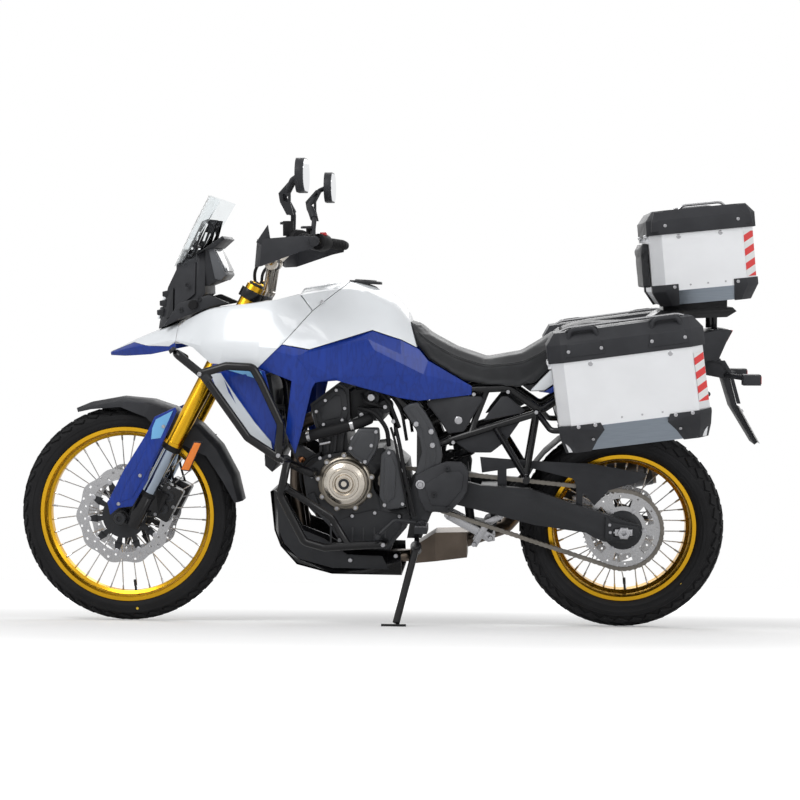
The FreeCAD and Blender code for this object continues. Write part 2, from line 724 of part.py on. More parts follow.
def front_fender():
    """A shell at one radius about the axle, with a skirt over the side of the tyre."""
    crown = float(d.fender_radius)
    wall = float(d.fender_wall)
    stations = ((116, 18, 14), (108, 44, 22), (92, 62, 30), (77, 68, 54), (66, 70, 84),
                (50, 70, 80), (36, 70, 50), (20, 68, 42), (7, 62, 22))

    def section(angle, half, skirt, inset, drop):
        turn = math.radians(angle)
        out = vec(-math.cos(math.pi - turn), 0, math.sin(turn))
        points = []
        for across, depth in ((-half + inset, skirt + drop), (-half * 0.94 + inset, 12 + inset),
                              (-half * 0.5, inset), (half * 0.5, inset),
                              (half * 0.94 - inset, 12 + inset), (half - inset, skirt + drop)):
            points.append(front_axle + out * (crown - depth) + vec(0, across, 0))
        return points

    outer = loft([section(a, half, skirt, 0, 0) for a, half, skirt in stations])
    first = (stations[0][0] + 2,) + stations[0][1:]
    last = (stations[-1][0] - 2,) + stations[-1][1:]
    inner = loft([section(a, half, skirt, wall, 20) for a, half, skirt in
                  (first,) + stations[1:-1] + (last,)])
    solid_piece("front_fender", outer.cut(inner))


def fork_guards():
    """Blades in front of the inner tubes, carried on the fork feet."""
    guards = []
    for side in (-1, 1):
        outline = [(-669, 670), (-603, 700), (-598, 687), (-687, 497), (-693, 470),
                   (-743, 388), (-787, 383), (-814, 361), (-822, 399), (-769, 502), (-696, 616)]
        blade = plate(outline, side * 137, side * 143)
        guards.append(blade)
    solid_piece("fork_guards", Part.makeCompound(guards))


def front_calipers():
    """Blocks bolted inside the fork lugs, slotted round the rims of the discs."""
    both = []
    for side in (-1, 1):
        block = plate_square(fork_point(106, side * 73.5, 63), 46, 66, 112)
        middle = side * (float(d.disc_offset) + float(d.disc_thickness) / 2)
        slot = rod(front_axle + vec(0, middle - 5, 0), front_axle + vec(0, middle + 5, 0),
                   float(d.disc_radius) + 3)
        both.append(rounded(block, 8).cut(slot))
    solid_piece("front_calipers", Part.makeCompound(both))


# Frame

def spar_points(side):
    middle = steer_point((float(d.lower_clamp) + float(d.clamp_thickness)
                          + float(d.upper_clamp)) / 2)
    return [middle + vec(10, side * 16, 10), vec(-215, side * 112, 896),
            vec(60, side * 128, 772), vec(165, side * 128, 640), vec(190, side * 128, 520)]


def down_points(side):
    middle = steer_point((float(d.lower_clamp) + float(d.clamp_thickness)
                          + float(d.upper_clamp)) / 2)
    return [middle + vec(6, side * 14, -40), vec(-258, side * 112, 790), vec(-236, side * 128, 590)]


def tubular_frame():
    head_low = steer_point(float(d.lower_clamp) + float(d.clamp_thickness) + 1)
    head_high = steer_point(float(d.upper_clamp) - 1)
    outer = float(d.head_radius)
    head = rod(head_low, head_high, outer)
    bore = rod(head_low - fork_up * 20, head_high + fork_up * 20,
               float(d.stem_radius) + float(d.running_gap))
    parts = [head]
    for side in (-1, 1):
        parts.append(tube(spar_points(side), d.spar_radius, 60))
        parts.append(tube(down_points(side), d.down_tube_radius, 50))
        clevis = [(168, 640), (194, 630), (275, 694), (275, 722), (250, 720), (170, 664)]
        parts.append(plate(clevis, side * 30.3, side * 38))
        cast = [(107, 700), (154, 716), (195, 661), (227, 579), (222, 490), (205, 400),
                (165, 300), (120, 300), (138, 400), (150, 520), (151, 631)]
        parts.append(plate(cast, side * 152, side * 166))
    parts.append(rod(vec(185, -153, 590), vec(185, 153, 590), 16))
    parts.append(rod(vec(180, -153, 648), vec(180, 153, 648), 13))
    parts.append(rod(vec(150, -153, 312), vec(150, 153, 312), 14))
    pin = rod(vec(d.pivot_x, -166, d.pivot_height), vec(d.pivot_x, 166, d.pivot_height), 10)
    whole = fused(parts + [pin]).cut(bore)
    solid_piece("main_frame", whole)
    return whole


def subframe(frame):
    parts = []
    spars = []
    for side in (-1, 1):
        parts.append(subframe_rails(side, 0))
        parts.append(rod(vec(168, side * 128, 676), vec(168, side * 151.7, 676), 12))
        parts.append(rod(vec(205, side * 140, 585), vec(205, side * 151.7, 585), 11))
        parts.append(rod(vec(860, side * 100, 840), vec(860, side * 100, 885.8), 9))
        spars.append(tube(spar_points(side), d.spar_radius + d.seat_gap, 60))
        parts.append(rod(vec(366, side * 132, 758), vec(313, side * 140, 622), 9))
        parts.append(rod(vec(392, side * 146, 640), vec(486, side * 152, 488), 10))
        parts.append(rod(vec(486, side * 145, 488), vec(486, side * 225, 488), 11))
    parts.append(rod(vec(700, -103, 790), vec(700, 103, 790), 10))
    parts.append(rod(vec(990, -98, 880), vec(990, 98, 880), 10))
    solid_piece("subframe", fused(parts).cut(spars + [frame]))


def subframe_rails(side, gap):
    """The upper and lower rail of one side, grown by a gap to clear what lies on them."""
    radius = float(d.rail_radius) + gap
    top = [vec(168, side * 128, 676), vec(319, side * 130, 758), vec(430, side * 134, 764),
           vec(530, side * 140, 694), vec(650, side * 104, 774), vec(1000, side * 98, 884)]
    low = [vec(205, side * 140, 585), vec(263, side * 140, 606), vec(530, side * 140, 690)]
    strut = rod(vec(486, side * 152, 488), vec(520, side * 142, 690), radius - 3)
    cross = rod(vec(430, 0, 764), vec(430, side * 134, 764), radius - 2)
    return fused([tube(top, radius, 24), tube(low, radius - 1, 30), strut, cross])


def swingarm():
    pivot = vec(d.pivot_x, 0, d.pivot_height)
    inner = float(d.arm_inner)
    thick = float(d.arm_thickness)
    parts = []
    outline = [(150, 500), (200, 498), (344, 463), (498, 453), (675, 393), (724, 377),
               (834, 343), (838, 306), (785, 287), (725, 292), (697, 303), (670, 319),
               (510, 342), (344, 385), (200, 420), (150, 440)]
    for side in (-1, 1):
        arm = plate(outline, side * inner, side * (inner + thick))
        arm = rounded(arm, 6)
        parts.append(arm)
        parts.append(rod(pivot + vec(0, side * inner, 0), pivot + vec(0, side * (inner + thick), 0), 34))
        link_lug = [(368, 392), (416, 392), (408, 336), (380, 336)]
        parts.append(plate(link_lug, side * 42.3, side * 51))
    parts.append(box(345, 425, -inner - 1, inner + 1, 388, 446))
    whole = fused(parts)
    hole = rod(pivot + vec(0, -200, 0), pivot + vec(0, 200, 0), 10 + float(d.seat_gap))
    slots = []
    for side in (-1, 1):
        slots.append(box(rear_axle.x - 30, rear_axle.x + 26, side * inner - 60,
                         side * inner + 60, rear_axle.z - 12.3, rear_axle.z + 12.3))
    solid_piece("swingarm", whole.cut([hole] + slots))


def rear_axle_piece():
    inner = float(d.arm_inner)
    thick = float(d.arm_thickness)
    reach = inner + thick + 8
    shaft = rod(rear_axle + vec(0, -reach, 0), rear_axle + vec(0, reach, 0),
                float(d.axle_radius) - 0.02)
    parts = [shaft]
    face = float(d.rear_hub_width) / 2 + 0.3
    for side in (-1, 1):
        parts.append(rod(rear_axle + vec(0, side * (inner + thick + 0.3), 0),
                         rear_axle + vec(0, side * (inner + thick + 11), 0), 18))
        parts.append(rod(rear_axle + vec(0, side * face, 0),
                         rear_axle + vec(0, side * (inner - 0.3), 0), 16))
    bore = rod(rear_axle + vec(0, -300, 0), rear_axle + vec(0, 300, 0), d.axle_bore)
    caliper = box(rear_axle.x - 150, rear_axle.x - 70, 72, 114, rear_axle.z + 18, rear_axle.z + 80)
    middle = float(d.rear_disc_offset) + float(d.disc_thickness) / 2
    slot = rod(rear_axle + vec(0, middle - 7.4, 0), rear_axle + vec(0, middle + 7.4, 0),
               float(d.rear_disc_radius) + 5.2)
    bracket = box(rear_axle.x - 150, rear_axle.x + 14, 106, 114, rear_axle.z - 14, rear_axle.z + 40)
    solid_piece("rear_axle", fused(parts + [caliper.cut(slot), bracket]).cut(bore))


def shock():
    body = rod(vec(262, 0, 700), vec(290, 0, 520), 26)
    link = plate([(239, 354), (293, 318), (330, 290), (377, 290), (407, 355), (365, 331)], -42, 42)
    lower = rod(vec(290, 0, 520), vec(312, 0, 330), 14)
    upper = rod(vec(262, -30, 706), vec(262, 30, 706), 16)
    solid_piece("shock", fused([body, lower, link, upper]))


# Engine

def engine():
    cases = plate([(-205, 500), (-190, 405), (-120, 330), (-80, 268), (60, 262), (118, 330),
                   (124, 420), (112, 520), (46, 578), (-60, 566), (-130, 556)], -150, 150)
    barrel = plate([(-168, 633), (-70, 646), (-62, 540), (-140, 535)], -128, 128)
    head = plate([(-180, 712), (-92, 778), (-60, 758), (-56, 640), (-160, 628)], -150, 150)
    sump = plate([(-100, 300), (-60, 236), (60, 240), (80, 300)], -90, 90)
    intake = plate([(-66, 745), (40, 800), (60, 720), (-58, 660)], -100, 100)
    drive = vec(d.drive_x, 0, d.drive_height)
    line = float(d.chain_line)
    pocket = [rod(drive + vec(0, -151, 0), drive + vec(0, -82, 0), 62),
              box(drive.x, drive.x + 120, -151, -82, drive.z - 80, drive.z + 62)]
    ears = [plate([(-254, 587.6), (-218, 587.6), (-140, 540), (-200, 496)], side * 114, side * 142)
            for side in (-1, 1)]
    lug = rod(vec(118, -151.7, 360), vec(118, 151.7, 360), 14)
    block = fused([cases, barrel, head, sump, intake, lug] + ears).cut(pocket)
    shaft = rod(drive + vec(0, -line - 10, 0), drive + vec(0, -81, 0), 14)
    wheel = toothed_plate(int(float(d.drive_teeth)), float(d.sprocket_thickness),
                          line - float(d.sprocket_thickness) / 2)
    wheel.rotate(vec(0, 0, 0), Z_AXIS, -90)
    wheel.translate(drive)
    solid_piece("engine", fused([block, shaft, wheel]))


def engine_covers():
    rings = [(-150.2, -172, 80), (-172, -190, 72), (-190, -200, 50), (-200, -208, 20)]
    left = fused([rod(vec(-71, near, 471), vec(-71, far, 471), radius)
                  for near, far, radius in rings])
    starter = plate([(-62, 575), (-25, 642), (35, 642), (29, 575), (-1, 526), (-38, 550)],
                    -205, -150.2)
    right = fused([rod(vec(-20, 150.2, 440), vec(-20, 178, 440), 100),
                   rod(vec(-20, 178, 440), vec(-20, 190, 440), 84),
                   rod(vec(-90, 150.2, 380), vec(-90, 176, 380), 46)])
    drive = plate([(40, 560), (76, 573), (112, 520), (118, 397), (60, 392), (36, 440)],
                  -176, -150.2)
    solid_piece("engine_covers", Part.makeCompound([left, starter, right, drive]))


def radiator():
    core = plate([(-328, 800), (-302, 800), (-272, 560), (-300, 500), (-322, 520)], -150, 150)
    lugs = [rod(vec(-303, side * 119, 700), vec(-248, side * 119, 700), 8) for side in (-1, 1)]
    tubes = [tube(down_points(side), d.down_tube_radius + d.seat_gap, 50) for side in (-1, 1)]
    solid_piece("radiator", fused([core] + lugs).cut(tubes))


def exhaust():
    parts = []
    for side in (-55, 55):
        port = vec(-168.9, side, 664)
        away = vec(-0.973, 0, -0.231)
        path = [port + away * 4, vec(-232, side, 640), vec(-240, side * 0.9, 440),
                vec(-214, side * 0.8, 236), vec(-60, side * 0.6, 208), vec(150, 50, 214)]
        parts.append(tube(path, 19, 42))
        parts.append(rod(port, port + away * 9, 27))
    collector = loft([[vec(x, y0, z0), vec(x, y1, z0), vec(x, y1, z1), vec(x, y0, z1)]
                      for x, y0, y1, z0, z1 in ((120, 0, 100, 192, 240), (200, 0, 110, 200, 292),
                                                 (300, 20, 130, 210, 292))])
    link = tube([vec(280, 90, 252), vec(420, 160, 290), vec(520, 205, 400), vec(600, 206, 430)],
                24, 60)
    can = rod(vec(560, 206, 418), vec(900, 206, 486), 56)
    tip = rod(vec(900, 206, 486), vec(925, 206, 491), 30)
    hole = rod(vec(880, 206, 482), vec(940, 206, 494), 24)
    solid_piece("exhaust", fused(parts + [collector, link, can, tip]).cut(hole))


def skid_plate():
    outline = [(-300, 440), (-312, 434), (-300, 313), (-281, 262), (-230, 205), (-119, 176),
               (100, 174), (100, 180), (-117, 182), (-226, 211), (-275, 264), (-294, 315)]
    belly = plate(outline, -110, 110)
    sides = []
    for side in (-1, 1):
        flank = [(-300, 440), (-294, 315), (-275, 264), (-226, 211), (-117, 182), (100, 180),
                 (97, 249), (-60, 252), (-130, 300), (-210, 330), (-262, 420)]
        sides.append(plate(flank, side * 109, side * 116))
        sides.append(rod(vec(0, side * 78, 178), vec(0, side * 78, 237.4), 8))
    solid_piece("skid_plate", fused([belly] + sides))


# Bodywork

STATIONS = (
    (-836, 868, (8, 867), (12, 863), (8, 857)),
    (-756, 906, (40, 900), (64, 882), (52, 856)),
    (-690, 934, (62, 926), (95, 893), (84, 860)),
    (-600, 968, (90, 958), (140, 908), (130, 850)),
    (-480, 1016, (150, 1006), (205, 890), (200, 780)),
    (-330, 1046, (170, 1026), (240, 892), (232, 560)),
    (-200, 1072, (150, 1050), (252, 886), (235, 560)),
    (-60, 1090, (125, 1066), (240, 908), (222, 640)),
    (60, 1052, (118, 1018), (200, 905), (190, 640)),
    (160, 944, (95, 928), (165, 872), (160, 640)),
    (330, 812, (90, 800), (152, 765), (150, 640)),
)


# The seam between tank and seat, and the top line of the tail under the seats
TANK_REAR = [(118, 990), (150, 888.6)]
PANEL_TOP = [(158, 883), (186, 848), (320, 769)]
TAIL_TOP = [(471, 772), (512, 776), (576, 842), (640, 856), (862, 900), (1080, 944)]


def skin(inset, floor_drop=0.0):
    """The outer form of the bodywork, drawn in by a wall."""
    sections = []
    for x, top, shoulder, crease, low in STATIONS:
        half = []
        for y, z in (low, crease, shoulder):
            half.append((max(y - inset, 1), z))
        half[0] = (half[0][0], half[0][1] - floor_drop)
        half[2] = (half[2][0], half[2][1] - inset * 0.7)
        left = [vec(x, -y, z) for y, z in half]
        right = [vec(x, y, z) for y, z in reversed(half)]
        sections.append(left + [vec(x, 0, top - inset)] + right)
    return loft(sections)


def cut_out(outline):
    """A side-view outline as a block across the whole width."""
    return plate(outline, -400, 400)


def bodywork():
    outer = skin(0)
    shell = outer.cut(skin(float(d.body_wall), 60))
    beak = [(-860, 840), (-860, 920), (-600, 980), (-600, 905), (-609, 897), (-690, 872)]
    solid_piece("beak", shell.common(cut_out(beak)))
    nose = [(-599.7, 905), (-599.7, 990), (-448, 1015), (-384, 1029), (-287, 1033), (-212, 1052),
            (-168, 1001), (-254, 900), (-329, 828), (-334, 829), (-481, 840), (-540, 887)]
    middle_clear = box(-620, -100, -100, 100, 700, 1200)
    nose_shell = shell.common(cut_out(nose))
    solid_piece("nose_panels", nose_shell.cut([middle_clear, steering_room()]))
    side = [(-328.6, 828), (-253.6, 899.8), (-169, 885), (17, 941.7), (104, 911.7)] + PANEL_TOP
    side += [(318, 742), (155, 724), (93, 735), (-89, 789), (-153, 784), (-164, 767),
             (-199, 624), (-217, 565), (-246, 632), (-226, 789), (-307, 820)]
    solid_piece("side_panels", shell.common(cut_out(side)))
    wing = [(-486, 806), (-474, 839.1), (-334.5, 828.6), (-329.4, 827.7), (-307.4, 819.6),
            (-268, 655), (-275, 637), (-282, 561), (-312, 574), (-343, 596), (-366, 605),
            (-441, 722)]
    solid_piece("wing_panels", shell.common(cut_out(wing)))
    tank = [(-167.6, 1001), (-211.7, 1052), (-211, 1120), (100, 1120)] + TANK_REAR + [(104, 912),
            (17, 942), (-169, 885.3), (-253.6, 900.1)]
    core = [(-252, 899), (17, 942), (104, 912), (110, 850), (-60, 830), (-180, 870)]
    upper = outer.common(cut_out(tank))
    lower = skin(12, 60).common(cut_out(core)).common(box(-400, 400, -120, 120, 700, 1200))
    solid = upper.fuse(lower)
    spars = [tube(spar_points(side), d.spar_radius + d.seat_gap, 60) for side in (-1, 1)]
    solid_piece("fuel_tank", solid.cut(spars))


def headlamp_cowl():
    sections = []
    for x, half, low, high in ((-672, 50, 941.1, 962), (-640, 78, 953.2, 1072),
                               (-604, 96, 966.8, 1140), (-540, 104, 1030, 1172),
                               (-516, 96, 1050, 1186)):
        sections.append([vec(x, -half, low), vec(x, -half * 0.7, high), vec(x, half * 0.7, high),
                         vec(x, half, low)])
    cowl = loft(sections)
    mounts = [box(-612, -548, side * 48 - 10, side * 48 + 10, 1110, 1190) for side in (-1, 1)]
    ahead = screen_sheet(-60, float(d.screen_wall + d.seat_gap))
    solid_piece("headlamp_cowl", fused([cowl] + mounts).cut(ahead))


def screen_sheet(front_face, back_face):
    """The curved sheet of the screen, between two depths behind its outer face."""
    def curve(x_mid, x_side, half, z_mid, z_side):
        inward = vec(x_side - x_mid, 0, z_side - z_mid).normalize()
        outline = [vec(x_side, -half, z_side), vec(x_mid, 0, z_mid), vec(x_side, half, z_side)]
        front = [point + inward * front_face for point in outline]
        back = [point + inward * back_face for point in reversed(outline)]
        edges = [Part.Arc(*front), Part.LineSegment(front[2], back[0]), Part.Arc(*back),
                 Part.LineSegment(back[2], front[0])]
        return Part.Wire([edge.toShape() for edge in edges])

    return Part.makeLoft([curve(-627, -590, 92, 1138, 1150), curve(-566, -500, 145, 1262, 1270),
                          curve(-514, -458, 138, 1361, 1340)], True, True)


def windscreen():
    solid_piece("windscreen", screen_sheet(0, float(d.screen_wall)))


def dash():
    """The instrument housing, hollowed where the fork turns under it."""
    tower = plate([(-514, 1195), (-489, 1191), (-452, 1109), (-468, 1094), (-504, 1080),
                   (-515.7, 1076), (-515.7, 1180)], -80, 80)
    screen_frame = plate([(-543, 1173), (-460, 1231), (-452, 1222), (-484, 1194), (-515, 1188)],
                         -95, 95)
    solid_piece("dash", fused([tower.cut(steering_room()), screen_frame]))


# Seat and tail

def cushion(stations):
    sections = []
    for x, half, low, high in stations:
        drop = (high - low) * 0.3
        sections.append([vec(x, -half, low), vec(x, -half, high - drop),
                         vec(x, -half * 0.72, high - 5), vec(x, 0, high),
                         vec(x, half * 0.72, high - 5), vec(x, half, high - drop),
                         vec(x, half, low)])
    return loft(sections)


def seats():
    gap = float(d.seat_gap)
    rider = cushion(((100, 100, 880, 980), (150, 118, 860, 962), (190, 136, 838, 928),
                     (266, 146, 790, 886), (363, 150, 772, 853), (471, 150, 764, 872),
                     (540, 142, 776, 914), (590, 130, 830, 952)))
    ahead = cut_out([(x + gap, z) for x, z in TANK_REAR]
                    + [(151, 700), (0, 700), (0, 1100), (85, 1100)])
    panels = cut_out([(x, z + gap) for x, z in PANEL_TOP] + [(320, 600), (140, 600), (140, 884)])
    tail = cut_out([(x, z + gap) for x, z in TAIL_TOP] + [(1080, 600), (471, 600)])
    rails = [subframe_rails(side, gap) for side in (-1, 1)]
    solid_piece("rider_seat", rider.cut([ahead, panels, tail] + rails))
    pillion = cushion(((591, 130, 840, 952), (640, 138, 850, 962), (825, 130, 880, 968),
                       (862, 120, 890, 972)))
    solid_piece("pillion_seat", pillion.cut(tail))


def tail_height(x):
    """The height of the tail's top line at a place along the machine."""
    for (x0, z0), (x1, z1) in zip(TAIL_TOP, TAIL_TOP[1:]):
        if x0 <= x <= x1:
            return z0 + (z1 - z0) * (x - x0) / (x1 - x0)
    return TAIL_TOP[-1][1]


def tail_cowl():
    under = [(1112, 940), (1093, 904), (1070, 850), (900, 836), (640, 790), (541, 753), (497, 752)]
    outside = plate(TAIL_TOP + under, -126, 126)
    hollow = plate([(500, 760), (580, 830), (860, 888), (1040, 920), (1040, 840), (640, 770)],
                   -118, 118)
    solid_piece("tail_cowl", outside.cut(hollow))
    solid_piece("tail_lamp", plate([(1094, 904), (1113, 940), (1122, 938), (1103, 902)], -50, 50))


def rear_rack():
    """A plate under the top case, an adapter up to its floor and four legs down to the tail."""
    slope = math.tan(math.radians(float(d.top_tilt)))

    def case_floor(x, drop=0.0):
        return float(d.top_front_height) + (x - float(d.top_front_x)) * slope - drop

    base_outline = ((862, 37), (897, 16.3), (1114, 26.5), (1126, 39.6), (1097, 54.9), (900, 44.6))
    base = plate([(x, case_floor(x, drop)) for x, drop in base_outline], -96, 96)
    gap = float(d.seat_gap)
    adapter = plate([(905, case_floor(905, 30)), (905, case_floor(905, gap)),
                     (1100, case_floor(1100, gap)), (1100, case_floor(1100, 45))], -70, 70)
    legs = [rod(vec(x, side * 80, tail_height(x + 9) + gap), vec(x, side * 80, case_floor(x, 40)), 9)
            for x in (900, 1060) for side in (-1, 1)]
    solid_piece("rear_rack", fused([base, adapter] + legs))


def plate_holder():
    arm = plate([(1040, 847.2), (1068, 849.5), (1083, 838), (1110, 800), (1134, 709),
                 (1199, 592), (1190, 585), (1120, 700), (1092, 790), (1040, 800)], -60, 60)
    lamps = [fused([rod(vec(1100, side * 60, 800), vec(1150, side * 130, 795), 8),
                    box(1138, 1190, side * 160 - 26, side * 160 + 26, 776, 808)])
             for side in (-1, 1)]
    solid_piece("plate_holder", fused([arm] + lamps))
    tag = box(-2, 0, -100, 100, -130, 0)
    tag.rotate(vec(0, 0, 0), Y_AXIS, -29)
    tag.translate(vec(1137.95, 0, 706.6))
    solid_piece("number_plate", tag)


# Guards, pegs and stand

def crash_bars():
    """Two loops, a lower guard and a brace on each side, bent from one size of tube."""
    radius = float(d.bar_tube_radius)
    groups = []
    for side in (-1, 1):
        y = side * 268
        front = [vec(-560, side * 200, 856), vec(-582, y, 880), vec(-490, y, 806),
                 vec(-357, y, 619), vec(-262, y, 556), vec(-168, side * 215, 503),
                 vec(-168, side * 150.3, 503)]
        rear = [vec(-500, y, 812), vec(-420, y, 836), vec(-340, y, 832), vec(-316, y, 790),
                vec(-256, y, 660), vec(-262, y, 570)]
        low = [vec(-236, y, 548), vec(-262, side * 240, 440), vec(-190, side * 232, 296),
               vec(-130, side * 215, 276), vec(50, side * 200, 286), vec(50, side * 150.3, 286)]
        brace = [vec(-258, side * 236, 470), vec(-108, side * 226, 372), vec(-60, side * 205, 286)]
        group = [tube(front, radius, 18), tube(rear, radius, 22), tube(low, radius, 22),
                 tube(brace, radius - 1.5, 30)]
        groups.append(fused(group))
    solid_piece("crash_bars", Part.makeCompound(groups))


def footpegs():
    groups = []
    for side in (-1, 1):
        hanger = plate([(140, 350), (180, 340), (200, 400), (300, 440), (306, 500), (240, 530),
                        (150, 500), (120, 420)], side * 166.3, side * 178)
        peg = box(150, 188, side * 238.5 - 46.5, side * 238.5 + 46.5, 331, 351)
        boss = rod(vec(168, side * 170, 343), vec(168, side * 202, 343), 17)
        lever = tube([vec(150, side * 196, 352), vec(86, side * 210, 362),
                      vec(36, side * 220, 316)], 6, 20)
        toe = rod(vec(36, side * 218, 316), vec(36, side * 258, 316), 8)
        groups.append(fused([hanger, peg, boss, lever, toe]))
    solid_piece("footpegs", Part.makeCompound(groups))


stand_pivot = vec(150, -196, 276)
stand_axis = vec(0, -0.890, 0.455).normalize()


def stand_foot_centre():
    """The foot's middle on the ground, in the upright frame."""
    return LEAN.inverse().multVec(vec(96, -312, 0))


def side_stand(frame):
    ground = stand_foot_centre()
    pad = Part.makeBox(74, 34, 7, vec(96 - 44, -312 - 17, 0))
    pad.transformShape(LEAN.inverse().toMatrix())
    bolt = rod(stand_pivot - stand_axis * 12, stand_pivot + stand_axis * 12, 17)
    leg = rod(stand_pivot, ground + vec(0, 2, 10), 11)
    whole = fused([pad, bolt, leg])
    hole = rod(stand_pivot - stand_axis * 30, stand_pivot + stand_axis * 30,
               6 + float(d.running_gap))
    below = Part.makeBox(400, 400, 60, vec(-100, -500, -60))
    below.transformShape(LEAN.inverse().toMatrix())
    solid_piece("side_stand", whole.cut([hole, below]))
    pin = rod(stand_pivot - stand_axis * 22, stand_pivot + stand_axis * 20, 6)
    ear = rod(stand_pivot - stand_axis * 22, stand_pivot - stand_axis * 12.4, 17)
    arm = rod(vec(150, -152, 296), stand_pivot - stand_axis * 22, 8)
    cap = rod(stand_pivot + stand_axis * 12.4, stand_pivot + stand_axis * 20, 12)
    solid_piece("stand_bracket", fused([pin, ear, cap, arm]).cut(frame))


def hugger():
    """The chain guard, and the arch ahead of the rear tyre on two arms from the swingarm."""
    guard = plate([(344, 549), (509, 537), (684, 530), (860, 500), (826, 473), (739, 447),
                   (696, 400), (652, 450), (630, 483), (480, 520), (350, 500)], -128, -122)
    mud = []
    for angle in range(96, 166, 10):
        turn = math.radians(angle)
        mud.append((rear_axle.x + 338 * math.cos(turn), rear_axle.z + 338 * math.sin(turn)))
    inner = [(rear_axle.x + 334 * math.cos(math.radians(a)),
              rear_axle.z + 334 * math.sin(math.radians(a))) for a in range(156, 86, -10)]
    arch = plate(mud + inner, -84, 84)
    arms = [plate([(425.3, 396), (425.3, 430), (474, 478), (486, 474), (478, 440), (462, 396)],
                  side * 60 - 4, side * 60 + 4) for side in (-1, 1)]
    tabs = [plate([(398, 512), (426, 512), (426, 458.1), (398, 459.9)], -128, -122),
            plate([(640, 480), (660, 455), (660, 398.4), (640, 405.2)], -128, -122)]
    solid_piece("hugger", Part.makeCompound([fused([guard] + tabs), fused([arch] + arms)]))


# Cases

def tray(length, width, height, wall, chamfer, slope, inset, outer_sign):
    """An open case: chamfered upright corners and a sloped outer foot."""
    corners = [(0, 0), (length, 0), (length, width - chamfer), (length - chamfer, width),
               (chamfer, width), (0, width - chamfer)]

    def block(shrink, floor):
        lower = []
        upper = []
        for x, y in corners:
            sx = min(max(x, shrink), length - shrink)
            sy = min(max(y, shrink), width - shrink)
            upper.append((sx, sy))
        wide = [vec(x, y * outer_sign, slope) for x, y in upper]
        top = [vec(x, y * outer_sign, height + (1 if floor else 0)) for x, y in upper]
        low = [vec(min(max(x, inset * 0.4), length - inset * 0.4),
                   min(y, width - inset - shrink) * outer_sign, floor) for x, y in upper]
        return fused([loft([low, wide]), loft([wide, top])])

    outer = block(0, 0)
    inner = block(wall, wall)
    return outer.cut(inner)


def lid(length, width, height, wall, chamfer, overhang, outer_sign):
    corners = [(-overhang, 0), (length + overhang, 0), (length + overhang, width - chamfer),
               (length - chamfer + 3, width + overhang * 0.6),
               (chamfer - 3, width + overhang * 0.6), (-overhang, width - chamfer)]

    def ring(shrink, z):
        out = []
        for x, y in corners:
            sx = min(max(x, shrink - overhang), length + overhang - shrink)
            sy = min(max(y, shrink), width + overhang * 0.6 - shrink)
            out.append(vec(sx, sy * outer_sign, z))
        return out
    outer = fused([loft([ring(0, 0), ring(0, height * 0.6)]),
                   loft([ring(0, height * 0.6), ring(26, height)])])
    rim = float(d.lid_rim)
    inner = fused([loft([ring(rim, -1), ring(rim, height * 0.6 - wall)]),
                   loft([ring(rim, height * 0.6 - wall), ring(32, height - wall)])])
    return outer.cut(inner)


def hinged(case, cover, seam, centres):
    """Adds knuckles and pins to a case and its lid, about the line at the lid's front edge."""
    radius = float(d.knuckle_radius)
    half = float(d.knuckle_length) / 2
    reach = half * 3
    x = -float(d.lid_overhang)

    def bar(y_from, y_to, size):
        return rod(vec(x, y_from, seam), vec(x, y_to, seam), size)

    for centre in centres:
        ends = [bar(centre + side * (half + 0.3), centre + side * reach, radius) for side in (-1, 1)]
        straps = [box(x - 2, 1, centre + side * (half + reach) / 2 - half + 0.3,
                      centre + side * (half + reach) / 2 + half - 0.3, seam - 16, seam - 3)
                  for side in (-1, 1)]
        pin = bar(centre - reach, centre + reach, float(d.hinge_pin_radius))
        case = fused([case, pin] + ends + straps)
        rooms = [bar(centre + side * half, centre + side * (reach + 0.5), radius + 0.5)
                 for side in (-1, 1)]
        hole = bar(centre - reach, centre + reach, float(d.hinge_pin_radius + d.running_gap))
        middle = bar(centre - half, centre + half, radius)
        cover = fused([cover, middle]).cut(rooms + [hole])
    return case, cover


def at_case(front_x, front_height, inner, sign, tilt):
    return FreeCAD.Placement(vec(front_x, inner * sign, front_height),
                             FreeCAD.Rotation(Y_AXIS, -float(tilt)))


def side_cases():
    length = float(d.case_length)
    width = float(d.case_width)
    height = float(d.case_height)
    seam = height + float(d.lid_gap)
    for name, sign in (("left", -1), ("right", 1)):
        body = tray(length, width, height, float(d.case_wall), float(d.case_chamfer),
                    float(d.case_slope), float(d.case_slope_inset), sign)
        cover = lid(length, width, float(d.lid_height), float(d.lid_wall), float(d.case_chamfer),
                    float(d.lid_overhang), sign)
        cover.translate(vec(0, 0, seam))
        body, cover = hinged(body, cover, seam, (sign * width * 0.25, sign * width * 0.65))
        place = at_case(d.case_front_x, d.case_front_height, float(d.case_inner), sign, d.case_tilt)
        piece = doc.addObject("Part::Feature", "side_case_" + name)
        piece.Shape = body
        finish(piece, "side_case_" + name, place)
        piece = doc.addObject("Part::Feature", "side_lid_" + name)
        piece.Shape = cover
        finish(piece, "side_lid_" + name, place)


def pannier_rack():
    groups = []
    rails = []
    for side in (-1, 1):
        y = side * float(d.case_inner - d.rack_tube_radius - d.seat_gap)
        ring = [vec(640, side * 104, 771), vec(640, y, 800), vec(960, y, 850), vec(985, y, 690),
                vec(640, y, 640), vec(560, y, 640), vec(520, side * 140, 687)]
        rails.append(subframe_rails(side, float(d.seat_gap)))
        groups.append(tube(ring, d.rack_tube_radius, 20))
    cross = tube([vec(975, -float(d.case_inner) + 10, 740), vec(1040, -120, 745), vec(1040, 120, 745),
                  vec(975, float(d.case_inner) - 10, 740)], 8, 30)
    solid_piece("pannier_rack", fused(groups + [cross]).cut(rails))


